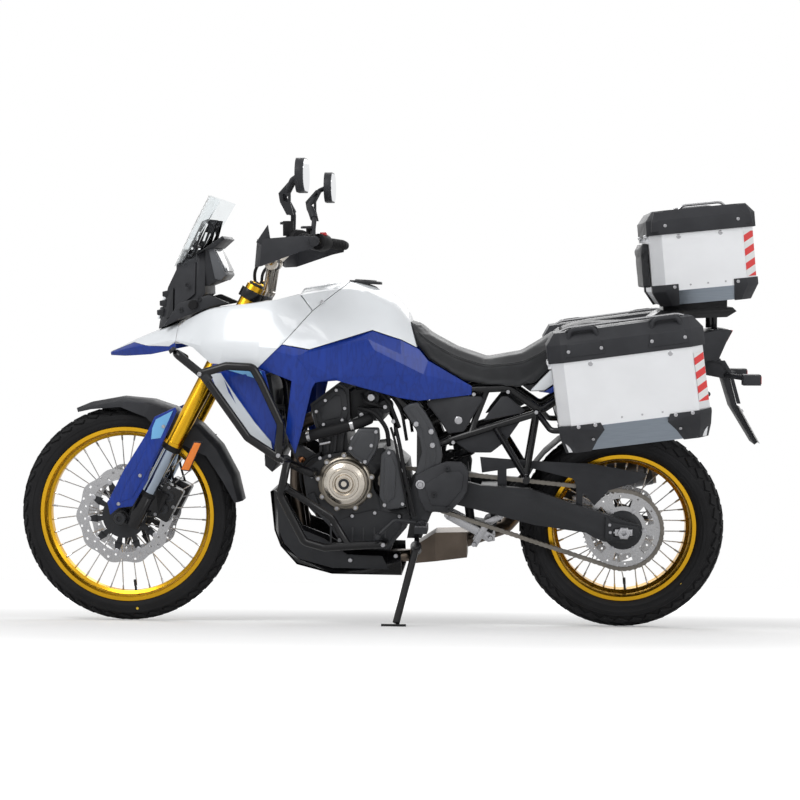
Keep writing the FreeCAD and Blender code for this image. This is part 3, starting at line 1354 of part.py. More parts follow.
def top_case():
    length = float(d.top_length)
    width = float(d.top_width)
    height = float(d.top_height)
    chamfer = float(d.top_chamfer)
    slope = float(d.top_slope)
    inset = float(d.top_slope_inset)
    wall = float(d.case_wall)

    def ring(shrink, z, tuck=0.0, overhang=0.0):
        half = width / 2 + overhang - shrink - tuck
        x0 = -overhang + shrink + tuck
        x1 = length + overhang - shrink - tuck
        cut = chamfer
        points = [(x0, -half + cut), (x0 + cut, -half), (x1 - cut, -half), (x1, -half + cut),
                  (x1, half - cut), (x1 - cut, half), (x0 + cut, half), (x0, half - cut)]
        return [vec(x, y, z) for x, y in points]

    outer = fused([loft([ring(0, 0, inset), ring(0, slope)]),
                   loft([ring(0, slope), ring(0, height)])])
    inner = fused([loft([ring(wall, wall, inset), ring(wall, slope)]),
                   loft([ring(wall, slope), ring(wall, height + 1)])])
    body = outer.cut(inner)
    lid_height = float(d.top_lid_height)
    over = float(d.lid_overhang)
    base = height + float(d.lid_gap)
    shoulder = base + lid_height * 0.6
    under = float(d.lid_wall)
    outer = fused([loft([ring(0, base, 0, over), ring(0, shoulder, 0, over)]),
                   loft([ring(0, shoulder, 0, over), ring(0, base + lid_height, 22, over)])])
    rim = float(d.lid_rim)
    inner = fused([loft([ring(rim, base - 1, 0, over), ring(rim, shoulder - under, 0, over)]),
                   loft([ring(rim, shoulder - under, 0, over),
                         ring(rim, base + lid_height - under, 22, over)])])
    body, cover = hinged(body, outer.cut(inner), base, (-width * 0.28, width * 0.28))
    place = FreeCAD.Placement(vec(d.top_front_x, 0, d.top_front_height),
                              FreeCAD.Rotation(Y_AXIS, -float(d.top_tilt)))
    for label, shape in (("top_case", body), ("top_lid", cover)):
        piece = doc.addObject("Part::Feature", label)
        piece.Shape = shape
        finish(piece, label, place)
    pad = box(-28, -0.3, -120, 120, 56, 196)
    piece = doc.addObject("Part::Feature", "backrest_pad")
    piece.Shape = pad
    finish(piece, "backrest_pad", place)


wheels()
front_discs()
rear_disc()
rear_sprocket()
chain()
front_fork()
clamps()
handlebar()
hand_guards()
mirrors()
front_fender()
fork_guards()
front_calipers()
frame = tubular_frame()
subframe(frame)
swingarm()
rear_axle_piece()
shock()
engine()
engine_covers()
radiator()
exhaust()
skid_plate()
bodywork()
headlamp_cowl()
windscreen()
dash()
seats()
tail_cowl()
rear_rack()
plate_holder()
crash_bars()
footpegs()
side_stand(frame)
hugger()
side_cases()
pannier_rack()
top_case()

# The origin lies on the ground under the middle of the whole outline
doc.recompute()
bounds = FreeCAD.BoundBox()
for piece in pieces:
    bounds.add(piece.Shape.BoundBox)
to_middle = FreeCAD.Placement(vec(-bounds.Center.x, -bounds.Center.y, 0), FreeCAD.Rotation())
for piece in pieces:
    piece.Placement = to_middle.multiply(piece.Placement)

doc.recompute()
for entry in doc.Objects:
    if "Invalid" in entry.State or "Error" in entry.State:
        raise RuntimeError("%s did not rebuild" % entry.Label)
os.makedirs("parts", exist_ok=True)
faulty = [piece.Label for piece in pieces
          if piece.Shape.isNull() or not piece.Shape.isValid() or not piece.Shape.Solids]
if faulty:
    raise RuntimeError("not valid solids: %s" % ", ".join(faulty))
for piece in pieces:
    piece.Shape.exportStep("parts/%s.step" % piece.Label)
print(len(pieces), "sub-parts, origin moved by", -bounds.Center.x, -bounds.Center.y)
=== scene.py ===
"""Looks for the adventure motorcycle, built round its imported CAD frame.

Pieces are drawn in millimetres on the upright machine: +X towards the rear wheel, +Z up,
-Y the machine's left side, with the origin on the ground midway between the axles.
to_row then leans them onto the side stand, where the CAD nodes are.
"""
import json
import math

import bmesh
import bpy
from mathutils import Matrix, Vector


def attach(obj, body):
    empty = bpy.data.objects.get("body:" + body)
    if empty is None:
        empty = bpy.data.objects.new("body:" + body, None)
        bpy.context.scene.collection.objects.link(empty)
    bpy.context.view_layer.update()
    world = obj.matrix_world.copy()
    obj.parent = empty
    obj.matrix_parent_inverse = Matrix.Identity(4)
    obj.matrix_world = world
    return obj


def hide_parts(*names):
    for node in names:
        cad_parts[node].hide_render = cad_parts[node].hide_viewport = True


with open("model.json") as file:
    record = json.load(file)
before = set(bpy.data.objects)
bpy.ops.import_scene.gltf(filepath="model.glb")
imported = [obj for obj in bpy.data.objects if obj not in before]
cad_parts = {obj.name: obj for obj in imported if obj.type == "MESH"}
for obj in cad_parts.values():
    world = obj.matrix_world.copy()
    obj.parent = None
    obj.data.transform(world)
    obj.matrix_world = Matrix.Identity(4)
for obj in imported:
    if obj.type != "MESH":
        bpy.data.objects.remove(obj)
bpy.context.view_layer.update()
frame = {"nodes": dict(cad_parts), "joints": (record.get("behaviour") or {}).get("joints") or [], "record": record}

joints = {joint["name"]: joint for joint in frame["joints"]}
scene = bpy.context.scene

# The machine's place in the row frame
WHEELBASE = 1570.0
FRONT_TYRE, REAR_TYRE = 347.7, 321  # radius
FRONT_RIM, REAR_RIM = (281.5, 72), (231, 118)  # radius, width
SPOKES = 36
FRONT_AXLE = Vector((-WHEELBASE / 2, 0, FRONT_TYRE))
REAR_AXLE = Vector((WHEELBASE / 2, 0, REAR_TYRE))
RAKE = math.radians(28)
LEAN = math.radians(10)
CROWN_DIFFERENCE = 30.0
turn = (Matrix.Rotation(CROWN_DIFFERENCE * (math.cos(LEAN) - 1) / WHEELBASE, 3,
    "Y") @ Matrix.Rotation(LEAN, 3, "X"))
shift = Vector(joints["front_wheel_spin"]["pos_m"]) * 1000 - turn @ FRONT_AXLE
to_row = Matrix.Scale(0.001, 4) @ Matrix.Translation(shift) @ turn.to_4x4()

FORK_UP = Vector((math.sin(RAKE), 0, math.cos(RAKE)))
FORK_BACK = Vector((math.cos(RAKE), 0, -math.sin(RAKE)))
FORK_FOOT = FRONT_AXLE + FORK_BACK * 38
STEER_FOOT = FRONT_AXLE + FORK_BACK * 62.6


def outward(angle):
    """The direction from an axle at an angle round it."""
    return Vector((math.cos(angle), 0, math.sin(angle)))


def fork_point(along, across=0.0, back=0.0):
    return FORK_FOOT + FORK_UP * along + FORK_BACK * back + Vector((0, across, 0))


# Materials

def add(tree, kind, values=(), **settings):
    node = tree.nodes.new(kind)
    for key, value in settings.items():
        setattr(node, key, value)
    for socket, value in dict(values).items():
        node.inputs[socket].default_value = value
    return node


def coordinates(tree, scale=(1, 1, 1), rotation=(0, 0, 0)):
    """Object coordinates in metres, turned and scaled."""
    source = add(tree, "ShaderNodeTexCoord")
    mapping = add(tree, "ShaderNodeMapping", {"Scale": scale, "Rotation": rotation})
    tree.links.new(source.outputs["Object"], mapping.inputs["Vector"])
    return mapping.outputs["Vector"]


def noise(tree, scale, detail=3.0, stretch=(1, 1, 1), rotation=(0, 0, 0)):
    texture = add(tree, "ShaderNodeTexNoise", {"Scale": scale, "Detail": detail})
    tree.links.new(coordinates(tree, stretch, rotation), texture.inputs["Vector"])
    return texture.outputs["Fac"]


def ramp(tree, factor, stops):
    """A colour ramp over a factor; a stop is a place and a colour or a grey."""
    node = add(tree, "ShaderNodeValToRGB")
    band = node.color_ramp
    while len(band.elements) < len(stops):
        band.elements.new(0.5)
    for element, (place, tone) in zip(band.elements, stops):
        element.position = place
        element.color = (tone, tone, tone, 1) if isinstance(tone, float) else (*tone, 1)
    tree.links.new(factor, node.inputs["Fac"])
    return node.outputs["Color"]


def bump(tree, base, height, strength, distance):
    node = add(tree, "ShaderNodeBump", {"Strength": strength, "Distance": distance})
    tree.links.new(height, node.inputs["Height"])
    tree.links.new(node.outputs["Normal"], base.inputs["Normal"])
    return node


def shade(colour, factor):
    return tuple(min(1.0, channel * factor) for channel in colour)


def surface(name, **sockets):
    """A new material with plain values on its shader; a socket's name has _ for each space."""
    material = bpy.data.materials.new(name)
    material.use_nodes = True
    base = material.node_tree.nodes["Principled BSDF"]
    for socket, value in sockets.items():
        base.inputs[socket.replace("_", " ")].default_value = value
    return material, material.node_tree, base


def feed(tree, base, socket, factor, *stops):
    tree.links.new(ramp(tree, factor, stops), base.inputs[socket])


def tinted(tree, base, factor, colour, less, more):
    """The colour drifts between a darker and a lighter shade of itself."""
    feed(tree, base, "Base Color", factor, (0.3, shade(colour, less)), (0.7, shade(colour, more)))


def roughened(tree, base, factor, low, high):
    feed(tree, base, "Roughness", factor, (0.3, low), (0.7, high))


def finish_material(name, colour, rough, metal=0.0, coat=0.0, grain=0.0, grain_scale=900.0,
                    stretch=(1, 1, 1), variation=0.12, spread=0.08, gloss=0.5):
    """One finish: colour and roughness that drift a little, and a fine surface grain."""
    material, tree, base = surface(name, Metallic=metal, Coat_Weight=coat, Coat_Roughness=0.06,
                                   Specular_IOR_Level=gloss)
    tinted(tree, base, noise(tree, 9.0, 4.0), colour, 1 - variation, 1 + variation)
    feed(tree, base, "Roughness", noise(tree, grain_scale * 0.4, 5.0, stretch),
         (0.25, max(0.02, rough - spread)), (0.75, min(1.0, rough + spread)))
    if grain:
        bump(tree, base, noise(tree, grain_scale, 3.0, stretch), grain, 0.0004)
    return material


def cells(tree, scale, **settings):
    node = add(tree, "ShaderNodeTexVoronoi", {"Scale": scale}, **settings)
    tree.links.new(coordinates(tree), node.inputs["Vector"])
    return node.outputs["Distance"]


def grained_plastic(name, colour, rough):
    """Moulded plastic with a fine pebble grain."""
    material, tree, base = surface(name, Specular_IOR_Level=0.22)
    pebbles = cells(tree, 620.0)
    tinted(tree, base, noise(tree, 14.0), colour, 0.86, 1.16)
    roughened(tree, base, noise(tree, 60.0), rough - 0.06, rough + 0.08)
    bump(tree, base, pebbles, 0.12, 0.0003)
    return material


def seat_leather(name, colour):
    """Seat cover with a fine leather cell and a soft sheen."""
    material, tree, base = surface(name, Sheen_Weight=0.1, Specular_IOR_Level=0.35)
    creases = cells(tree, 420.0, feature="DISTANCE_TO_EDGE")
    tinted(tree, base, noise(tree, 30.0), colour, 0.85, 1.18)
    roughened(tree, base, noise(tree, 18.0), 0.44, 0.56)
    bump(tree, base, ramp(tree, creases, ((0.0, 0.0), (0.12, 1.0))), 0.25, 0.0003)
    return material


def brushed_metal(name, colour, rough, along=(1, 1, 1)):
    """Metal with fine drawn lines along one direction."""
    material, tree, base = surface(name, Metallic=1.0)
    lines = noise(tree, 300.0, 6.0, along)
    tinted(tree, base, lines, colour, 0.92, 1.08)
    roughened(tree, base, lines, rough - 0.07, rough + 0.07)
    bump(tree, base, lines, 0.05, 0.0002)
    return material


def striped(name, first, second, width, angle, edge=0.02, rough=0.35):
    """Diagonal stripes of two colours across a panel's long side."""
    material, tree, base = surface(name, Coat_Weight=0.4)
    wave = add(tree, "ShaderNodeTexWave", {"Scale": 0.5 / width, "Distortion": 0.0},
               wave_type="BANDS", bands_direction="X", wave_profile="TRI")
    tree.links.new(coordinates(tree, rotation=(0, angle, 0)), wave.inputs["Vector"])
    feed(tree, base, "Base Color", wave.outputs["Fac"], (0.5 - edge, first), (0.5 + edge, second))
    roughened(tree, base, noise(tree, 500.0), rough - 0.05, rough + 0.05)
    return material


def lined_paint(name, colour, angle):
    """Deep coat with faint darker lines that run across the panel."""
    material, tree, base = surface(name, Coat_Weight=0.25, Coat_Roughness=0.08, Specular_IOR_Level=0.3)
    lines = noise(tree, 60.0, 2.0, (1, 1, 0.03), (0, angle, 0))
    feed(tree, base, "Base Color", lines, (0.42, colour), (0.5, shade(colour, 0.8)), (0.56, colour),
         (0.7, shade(colour, 1.12)))
    roughened(tree, base, noise(tree, 700.0), 0.3, 0.4)
    return material


def clear_sheet(name, tint, rough=0.03):
    material, tree, base = surface(name, Transmission_Weight=0.95, IOR=1.2)
    roughened(tree, base, noise(tree, 40.0), rough, rough + 0.03)
    tinted(tree, base, noise(tree, 6.0), tint, 1.0, 0.97)
    return material


WHITE = finish_material("pearl_white", (0.84, 0.87, 0.90), 0.32, coat=0.5, variation=0.02, spread=0.04)
BLUE = lined_paint("deep_blue", (0.004, 0.034, 0.285), math.radians(-35))
LIGHT_BLUE = finish_material("light_blue_band", (0.16, 0.45, 0.78), 0.35, coat=0.5, variation=0.05)
BAND_WHITE = finish_material("white_band", (0.74, 0.79, 0.84), 0.35, coat=0.5, variation=0.03)
GOLD = finish_material("gold_anodised", (0.76, 0.42, 0.022), 0.24, metal=1.0, variation=0.05, spread=0.05)
TYRE = finish_material("tyre_rubber", (0.011, 0.011, 0.012), 0.68, grain=0.15, grain_scale=700,
    variation=0.25, gloss=0.2)
BLACK_COAT = finish_material("black_coat", (0.005, 0.005, 0.006), 0.24, variation=0.1, spread=0.06,
    gloss=0.4)
SATIN_BLACK = finish_material("satin_black", (0.026, 0.027, 0.030), 0.42, grain=0.04, grain_scale=800,
    gloss=0.25)
DARK_ENGINE = finish_material("dark_engine", (0.036, 0.037, 0.040), 0.45, metal=0.15, grain=0.12,
    grain_scale=600, variation=0.2, gloss=0.3)
WARM_GREY = finish_material("bronze_grey_cover", (0.30, 0.27, 0.225), 0.36, metal=0.9, grain=0.15,
    grain_scale=500, variation=0.08)
RING_GREY = brushed_metal("turned_cover_ring", (0.62, 0.57, 0.50), 0.22)
STEEL = brushed_metal("polished_steel", (0.46, 0.46, 0.47), 0.26)
CHAIN_STEEL = finish_material("chain_steel", (0.20, 0.185, 0.165), 0.38, metal=1.0, variation=0.2)
SLIDER = finish_material("hard_slider", (0.36, 0.42, 0.50), 0.12, metal=1.0, variation=0.03, spread=0.02)
ZINC = finish_material("zinc_bolt", (0.48, 0.48, 0.50), 0.3, metal=1.0, variation=0.06)
CASE_METAL = finish_material("case_aluminium", (0.83, 0.84, 0.86), 0.42, metal=0.75, grain=0.12,
    grain_scale=420, stretch=(0.1, 1, 1), variation=0.03, spread=0.05)
SLOPE_METAL = brushed_metal("case_slope_metal", (0.30, 0.34, 0.39), 0.42, (0.04, 1, 1))
BLACK_PLASTIC = grained_plastic("black_plastic", (0.032, 0.033, 0.037), 0.46)
GREY_PLASTIC = grained_plastic("grey_plastic", (0.040, 0.041, 0.045), 0.48)
FRAME_GREY = finish_material("frame_grey", (0.055, 0.057, 0.062), 0.36, metal=0.3, grain=0.12,
    grain_scale=500, variation=0.1, gloss=0.4)
RUBBER = finish_material("grip_rubber", (0.008, 0.008, 0.009), 0.66, grain=0.15, grain_scale=900,
    gloss=0.25)
SEAT = seat_leather("seat_cover", (0.020, 0.021, 0.023))
SCREEN = clear_sheet("clear_screen", (0.93, 0.96, 0.97))
LENS = clear_sheet("lamp_lens", (0.9, 0.93, 0.96))
AMBER = finish_material("amber_lens", (0.9, 0.22, 0.008), 0.2, coat=0.6, variation=0.06)
RED = finish_material("red_lens", (0.55, 0.010, 0.012), 0.2, coat=0.6, variation=0.06)
HAZARD = striped("hazard_stripes", (0.72, 0.016, 0.016), (0.8, 0.8, 0.8), 0.055, math.radians(-52))
MIRROR = finish_material("mirror_glass", (0.85, 0.87, 0.9), 0.04, metal=1.0, variation=0.01, spread=0.01)
DISPLAY = finish_material("display_glass", (0.16, 0.17, 0.19), 0.15, coat=0.6, variation=0.1)
HOUSING = finish_material("display_back", (0.10, 0.105, 0.115), 0.4, grain=0.1, gloss=0.4)
EXHAUST = finish_material("exhaust_steel", (0.13, 0.105, 0.085), 0.36, metal=1.0, variation=0.25)
MUFFLER = finish_material("muffler_shell", (0.10, 0.10, 0.105), 0.34, metal=0.8, variation=0.1)
PLATE = finish_material("bare_plate", (0.72, 0.72, 0.71), 0.35, coat=0.3, variation=0.02)
YELLOW = finish_material("yellow_mark", (0.75, 0.50, 0.03), 0.5, variation=0.05)
COPPER = finish_material("bare_copper", (0.62, 0.27, 0.13), 0.3, metal=1.0, variation=0.1)

# Which finish each carried CAD node takes
FINISHES = {node: finish for finish, nodes in (
    (GOLD, "fork_tubes"), (RING_GREY, "handlebar"), (ZINC, "front_axle rear_axle"),
    (BLACK_COAT, "fork_lowers triple_clamps main_frame crash_bars pannier_rack rear_rack side_stand"
                 " stand_bracket front_calipers subframe skid_plate"),
    (SATIN_BLACK, "footpegs shock radiator swingarm"), (EXHAUST, "exhaust"), (DARK_ENGINE, "engine"),
    (WARM_GREY, "engine_covers"), (WHITE, "nose_panels fuel_tank beak"), (SCREEN, "windscreen"),
    (BLUE, "side_panels wing_panels fork_guards"), (SEAT, "rider_seat pillion_seat backrest_pad"),
    (CASE_METAL, "side_case_left side_case_right top_case"), (RED, "tail_lamp"),
    (BLACK_PLASTIC, "side_lid_left side_lid_right top_lid hand_guards mirrors front_fender"
                    " headlamp_cowl dash tail_cowl plate_holder hugger"),
    (PLATE, "number_plate"), (RUBBER, "hand_controls")) for node in nodes.split()}
SLOTS = {row["node"]: row["material_slot"] for row in frame["record"]["subparts"]}
BODY_OF = {node: body for body, nodes in frame["record"]["behaviour"]["bodies"].items() for node in nodes}


# Shape helpers, all in upright millimetres

def link(obj):
    scene.collection.objects.link(obj)
    return obj


def apply_modifiers(obj):
    """Replaces a mesh by what its modifiers make of it."""
    graph = bpy.context.evaluated_depsgraph_get()
    mesh = bpy.data.meshes.new_from_object(obj.evaluated_get(graph))
    obj.modifiers.clear()
    obj.data = mesh
    return obj


def smooth_by_angle(obj, degrees):
    obj.data.shade_smooth()
    obj.data.set_sharp_from_angle(angle=math.radians(degrees))


def raw_object(name, shape):
    mesh = bpy.data.meshes.new(name)
    shape.to_mesh(mesh)
    shape.free()
    return link(bpy.data.objects.new(name, mesh))


def settle(obj, body, material, slot, replaced=(), smooth=32):
    """Moves a mesh in upright millimetres to the row frame and hands it to its body."""
    obj.data.transform(to_row)
    obj.data.materials.clear()
    obj.data.materials.append(material)
    smooth_by_angle(obj, smooth)
    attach(obj, body)
    if replaced:
        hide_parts(*replaced)
    return obj


def piece(name, shape, body, material, slot, replaced=(), smooth=32, bevel=0.0, segments=2):
    obj = raw_object(name, shape)
    if bevel:
        soften(obj, bevel, segments)
    return settle(obj, body, material, slot, replaced, smooth)


def fitted(name, shape, material, node, replaced=(), smooth=32, bevel=0.0):
    """A piece that rides with a CAD node."""
    return piece(name, shape, BODY_OF[node], material, SLOTS[node], replaced, smooth, bevel)


def node_shape(node, open_towards=0):
    """A CAD node's mesh, merged, in upright millimetres.

    An open rim is a ring, which one flat face can't hold, so faces that look up (1) or
    down (-1) stay as triangles on a tray or a lid.
    """
    shape = bmesh.new()
    shape.from_mesh(frame["nodes"][node].data)
    shape.transform(to_row.inverted())
    bmesh.ops.remove_doubles(shape, verts=shape.verts, dist=0.02)
    shape.normal_update()
    edges = [edge for edge in shape.edges if not (open_towards and any(open_towards * face.normal.z > 0.9
        for face in edge.link_faces))]
    verts = [] if open_towards else shape.verts[:]
    bmesh.ops.dissolve_limit(shape, angle_limit=math.radians(0.8), verts=verts, edges=edges,
        delimit={"NORMAL"})
    return shape


def dressed(node, material=None, bevel=1.2, smooth=32, open_towards=0):
    """A CAD node as a clean mesh with softened edges."""
    return fitted(node + "_piece", node_shape(node, open_towards), material or FINISHES[node], node,
        (node,), smooth, bevel)


def new_shape(points, faces):
    shape = bmesh.new()
    corners = [shape.verts.new(point) for point in points]
    for face in faces:
        shape.faces.new([corners[index] for index in face])
    bmesh.ops.recalc_face_normals(shape, faces=shape.faces)
    return shape


def joined(*shapes):
    whole = bmesh.new()
    for shape in shapes:
        mesh = bpy.data.meshes.new("part")
        shape.to_mesh(mesh)
        shape.free()
        whole.from_mesh(mesh)
        bpy.data.meshes.remove(mesh)
    return whole


def mirrored_pair(shape):
    """A shape and its mirror image across the machine's middle plane."""
    other = shape.copy()
    bmesh.ops.scale(other, vec=(1, -1, 1), verts=other.verts)
    bmesh.ops.reverse_faces(other, faces=other.faces)
    return joined(shape, other)


def prism(outline, y_from, y_to):
    """A side-view outline made solid between two planes."""
    count = len(outline)
    points = [(x, y_from, z) for x, z in outline] + [(x, y_to, z) for x, z in outline]
    faces = [tuple(range(count)), tuple(range(2 * count - 1, count - 1, -1))]
    faces += [(i, i + count, (i + 1) % count + count, (i + 1) % count) for i in range(count)]
    return new_shape(points, faces)


def block(x_from, x_to, y_from, y_to, z_from, z_to):
    return prism([(x_from, z_from), (x_to, z_from), (x_to, z_to), (x_from, z_to)], y_from, y_to)


def facing(centre, axis, along=None):
    """A placement whose Z runs along an axis and whose X leans to a second direction."""
    up = Vector(axis).normalized()
    side = Vector(along) if along is not None else Vector((1, 0, 0))
    if abs(side.normalized().dot(up)) > 0.95:
        side = Vector((0, 0, 1))
    across = up.cross(side).normalized()
    ahead = across.cross(up)
    return Matrix.Translation(Vector(centre)) @ Matrix((ahead, across, up)).transposed().to_4x4()


def turned(profile, centre, axis=(0, 1, 0), steps=64, closed=True):
    """A profile of (along, radius) points turned about an axis."""
    place = facing(centre, axis)
    count = len(profile)
    points = []
    faces = []
    for step in range(steps):
        angle = 2 * math.pi * step / steps
        for along, radius in profile:
            points.append(place @ Vector((radius * math.cos(angle), radius * math.sin(angle), along)))
        after = (step + 1) % steps
        for index in range(count if closed else count - 1):
            other = (index + 1) % count
            faces.append((step * count + index, step * count + other, after * count + other,
                after * count + index))
    shape = new_shape(points, faces)
    bmesh.ops.remove_doubles(shape, verts=shape.verts, dist=0.001)
    bmesh.ops.recalc_face_normals(shape, faces=shape.faces)
    return shape


def standing(profile, steps):
    """A turned shape that stands on the origin, ready to be set out."""
    return turned(profile, (0, 0, 0), (0, 0, 1), steps, closed=False)


def both_sides(points):
    """A row of (across, height) points and the same row mirrored, in one run."""
    return points + [(-across, height) for across, height in reversed(points)]


def rod(start, end, radius, end_radius=None, steps=20):
    start = Vector(start)
    run = Vector(end) - start
    last = radius if end_radius is None else end_radius
    return turned([(0, 0), (0, radius), (run.length, last), (run.length, 0)], start, run, steps,
        closed=False)


def knob(centre, axis, stages, steps=28):
    """A stepped round boss: each stage is a height and a radius, rising from the centre."""
    profile = [(0, stages[0][1])]
    for height, radius in stages:
        profile.append((height, radius))
    profile.append((stages[-1][0], 0))
    return turned(profile, centre, axis, steps, closed=False)


def rounded_path(points, bend):
    """A run of points with each corner eased into a short curve."""
    points = [Vector(point) for point in points]
    path = [points[0]]
    for before, corner, after in zip(points, points[1:], points[2:]):
        reach_in = min(bend, (corner - before).length * 0.45)
        reach_out = min(bend, (after - corner).length * 0.45)
        first = corner + (before - corner).normalized() * reach_in
        last = corner + (after - corner).normalized() * reach_out
        for step in range(7):
            t = step / 6
            path.append(first * (1 - t) ** 2 + corner * 2 * t * (1 - t) + last * t ** 2)
    return path + [points[-1]]


def tube(points, radius, bend=30, steps=12, flat=1.0):
    """A bent tube with closed ends; flat below 1 squeezes it across its width."""
    path = rounded_path(points, bend)
    rings = []
    side = None
    for index, point in enumerate(path):
        ahead = (path[min(index + 1, len(path) - 1)] - path[max(index - 1, 0)]).normalized()
        if side is None:
            side = ahead.cross(Vector((0.1, 1, 0.2))).normalized()
        side = (side - ahead * side.dot(ahead)).normalized()
        other = ahead.cross(side)
        rings.append([point + side * radius * math.cos(2 * math.pi * k / steps) + other * radius * flat
            * math.sin(2 * math.pi * k / steps) for k in range(steps)])
    faces = []
    for index in range(len(rings) - 1):
        base = index * steps
        for k in range(steps):
            after = (k + 1) % steps
            faces.append((base + k, base + after, base + steps + after, base + steps + k))
    faces.append(tuple(range(steps)))
    faces.append(tuple(range(len(rings) * steps - 1, (len(rings) - 1) * steps - 1, -1)))
    return new_shape([point for ring in rings for point in ring], faces)


def loft(sections, closed=True):
    """Skins equal sections of points; closed sections get end caps."""
    count = len(sections[0])
    faces = []
    for index in range(len(sections) - 1):
        base = index * count
        for k in range(count if closed else count - 1):
            after = (k + 1) % count
            faces.append((base + k, base + after, base + count + after, base + count + k))
    if closed:
        faces.append(tuple(range(count)))
        faces.append(tuple(range(len(sections) * count - 1, (len(sections) - 1) * count - 1, -1)))
    return new_shape([point for section in sections for point in section], faces)


def polar_plate(centre, y_from, y_to, radii, steps, edge, is_open=lambda ring, step: False):
    """A flat ring plate across the machine; edge gives the outer radius at a step."""
    layers = len(radii) + 1
    shape = bmesh.new()
    grid = []
    for step in range(steps):
        angle = 2 * math.pi * step / steps
        row = [shape.verts.new(centre + Vector((reach * math.cos(angle), y_from,
            reach * math.sin(angle)))) for reach in list(radii) + [edge(step)]]
        grid.append(row)
    for step in range(steps):
        after = (step + 1) % steps
        for ring in range(layers - 1):
            if not is_open(ring, step):
                shape.faces.new((grid[step][ring], grid[step][ring + 1], grid[after][ring + 1],
                    grid[after][ring]))
    loose = [vert for vert in shape.verts if not vert.link_faces]
    bmesh.ops.delete(shape, geom=loose, context="VERTS")
    made = bmesh.ops.extrude_face_region(shape, geom=shape.faces[:])
    bmesh.ops.translate(shape, vec=(0, y_to - y_from, 0),
        verts=[item for item in made["geom"] if isinstance(item, bmesh.types.BMVert)])
    bmesh.ops.recalc_face_normals(shape, faces=shape.faces)
    return shape


def cut(obj, shape, operation="INTERSECT"):
    """Cuts an object with a shape and returns it as a plain mesh."""
    tool = raw_object("cutter", shape)
    step = obj.modifiers.new("cut", "BOOLEAN")
    step.operation = operation
    step.solver = "EXACT"
    step.object = tool
    apply_modifiers(obj)
    bpy.data.objects.remove(tool)
    return obj


def soften(obj, width, segments=2, degrees=28):
    edge = obj.modifiers.new("edge", "BEVEL")
    edge.width = width
    edge.segments = segments
    edge.limit_method = "ANGLE"
    edge.angle_limit = math.radians(degrees)
    return apply_modifiers(obj)


# Repeats: one shape set out on points that carry two directions and a size

def setting_out():
    """Geometry nodes that put a shape on every point, turned by what the point carries."""
    tree = bpy.data.node_groups.new("setting_out", "GeometryNodeTree")
    for name, way, kind in (("Geometry", "INPUT", "Geometry"), ("Shape", "INPUT", "Object"),
            ("Finish", "INPUT", "Material"), ("Geometry", "OUTPUT", "Geometry")):
        tree.interface.new_socket(name=name, in_out=way, socket_type="NodeSocket" + kind)
    enter, leave = add(tree, "NodeGroupInput"), add(tree, "NodeGroupOutput")
    facing, along, size = [add(tree, "GeometryNodeInputNamedAttribute", {"Name": name},
        data_type=kind) for name, kind in (("facing", "FLOAT_VECTOR"), ("along", "FLOAT_VECTOR"),
        ("size", "FLOAT"))]
    dots = add(tree, "GeometryNodeMeshToPoints")
    upright = add(tree, "FunctionNodeAlignRotationToVector", axis="Z")
    turned_round = add(tree, "FunctionNodeAlignRotationToVector", axis="X", pivot_axis="Z")
    source = add(tree, "GeometryNodeObjectInfo")
    spread = add(tree, "GeometryNodeInstanceOnPoints")
    real = add(tree, "GeometryNodeRealizeInstances")
    coat = add(tree, "GeometryNodeSetMaterial")
    for start, out, end, into in ((enter, "Geometry", dots, "Mesh"), (facing, "Attribute", upright,
            "Vector"), (upright, "Rotation", turned_round, "Rotation"), (along, "Attribute", turned_round,
            "Vector"), (enter, "Shape", source, "Object"), (dots, "Points", spread, "Points"),
            (source, "Geometry", spread, "Instance"), (turned_round, "Rotation", spread, "Rotation"),
            (size, "Attribute", spread, "Scale"), (spread, "Instances", real, "Geometry"),
            (real, "Geometry", coat, "Geometry"), (enter, "Finish", coat, "Material"),
            (coat, "Geometry", leave, "Geometry")):
        tree.links.new(start.outputs[out], end.inputs[into])
    return tree


SETTING_OUT = setting_out()


def repeated(name, unit, spots, body, material, slot, replaced=(), smooth=32):
    """Sets a unit shape out on spots of (point, facing, along, size)."""
    source = raw_object(name + "_unit", unit)
    mesh = bpy.data.meshes.new(name)
    mesh.from_pydata([tuple(spot[0]) for spot in spots], [], [])
    for label, place in (("facing", 1), ("along", 2)):
        store = mesh.attributes.new(label, "FLOAT_VECTOR", "POINT")
        for index, spot in enumerate(spots):
            store.data[index].vector = tuple(spot[place])
    store = mesh.attributes.new("size", "FLOAT", "POINT")
    for index, spot in enumerate(spots):
        store.data[index].value = spot[3]
    obj = link(bpy.data.objects.new(name, mesh))
    lay = obj.modifiers.new("lay", "NODES")
    lay.node_group = SETTING_OUT
    sockets = {item.name: item.identifier for item in SETTING_OUT.interface.items_tree if item.in_out
        == "INPUT"}
    lay[sockets["Shape"]] = source
    lay[sockets["Finish"]] = material
    apply_modifiers(obj)
    bpy.data.objects.remove(source)
    return settle(obj, body, material, slot, replaced, smooth)


def screw(radius, height, steps=14):
    """A round head with an open six-sided socket."""
    profile = [(0, radius), (height * 0.7, radius), (height, radius * 0.82), (height, radius * 0.48),
        (height * 0.45, radius * 0.48), (height * 0.45, 0)]
    return standing(profile, steps)


def hex_head(radius, height):
    profile = [(0, radius * 1.25), (height * 0.25, radius * 1.25), (height * 0.25, radius),
        (height * 0.9, radius), (height, radius * 0.85), (height, 0)]
    return standing(profile, 6)


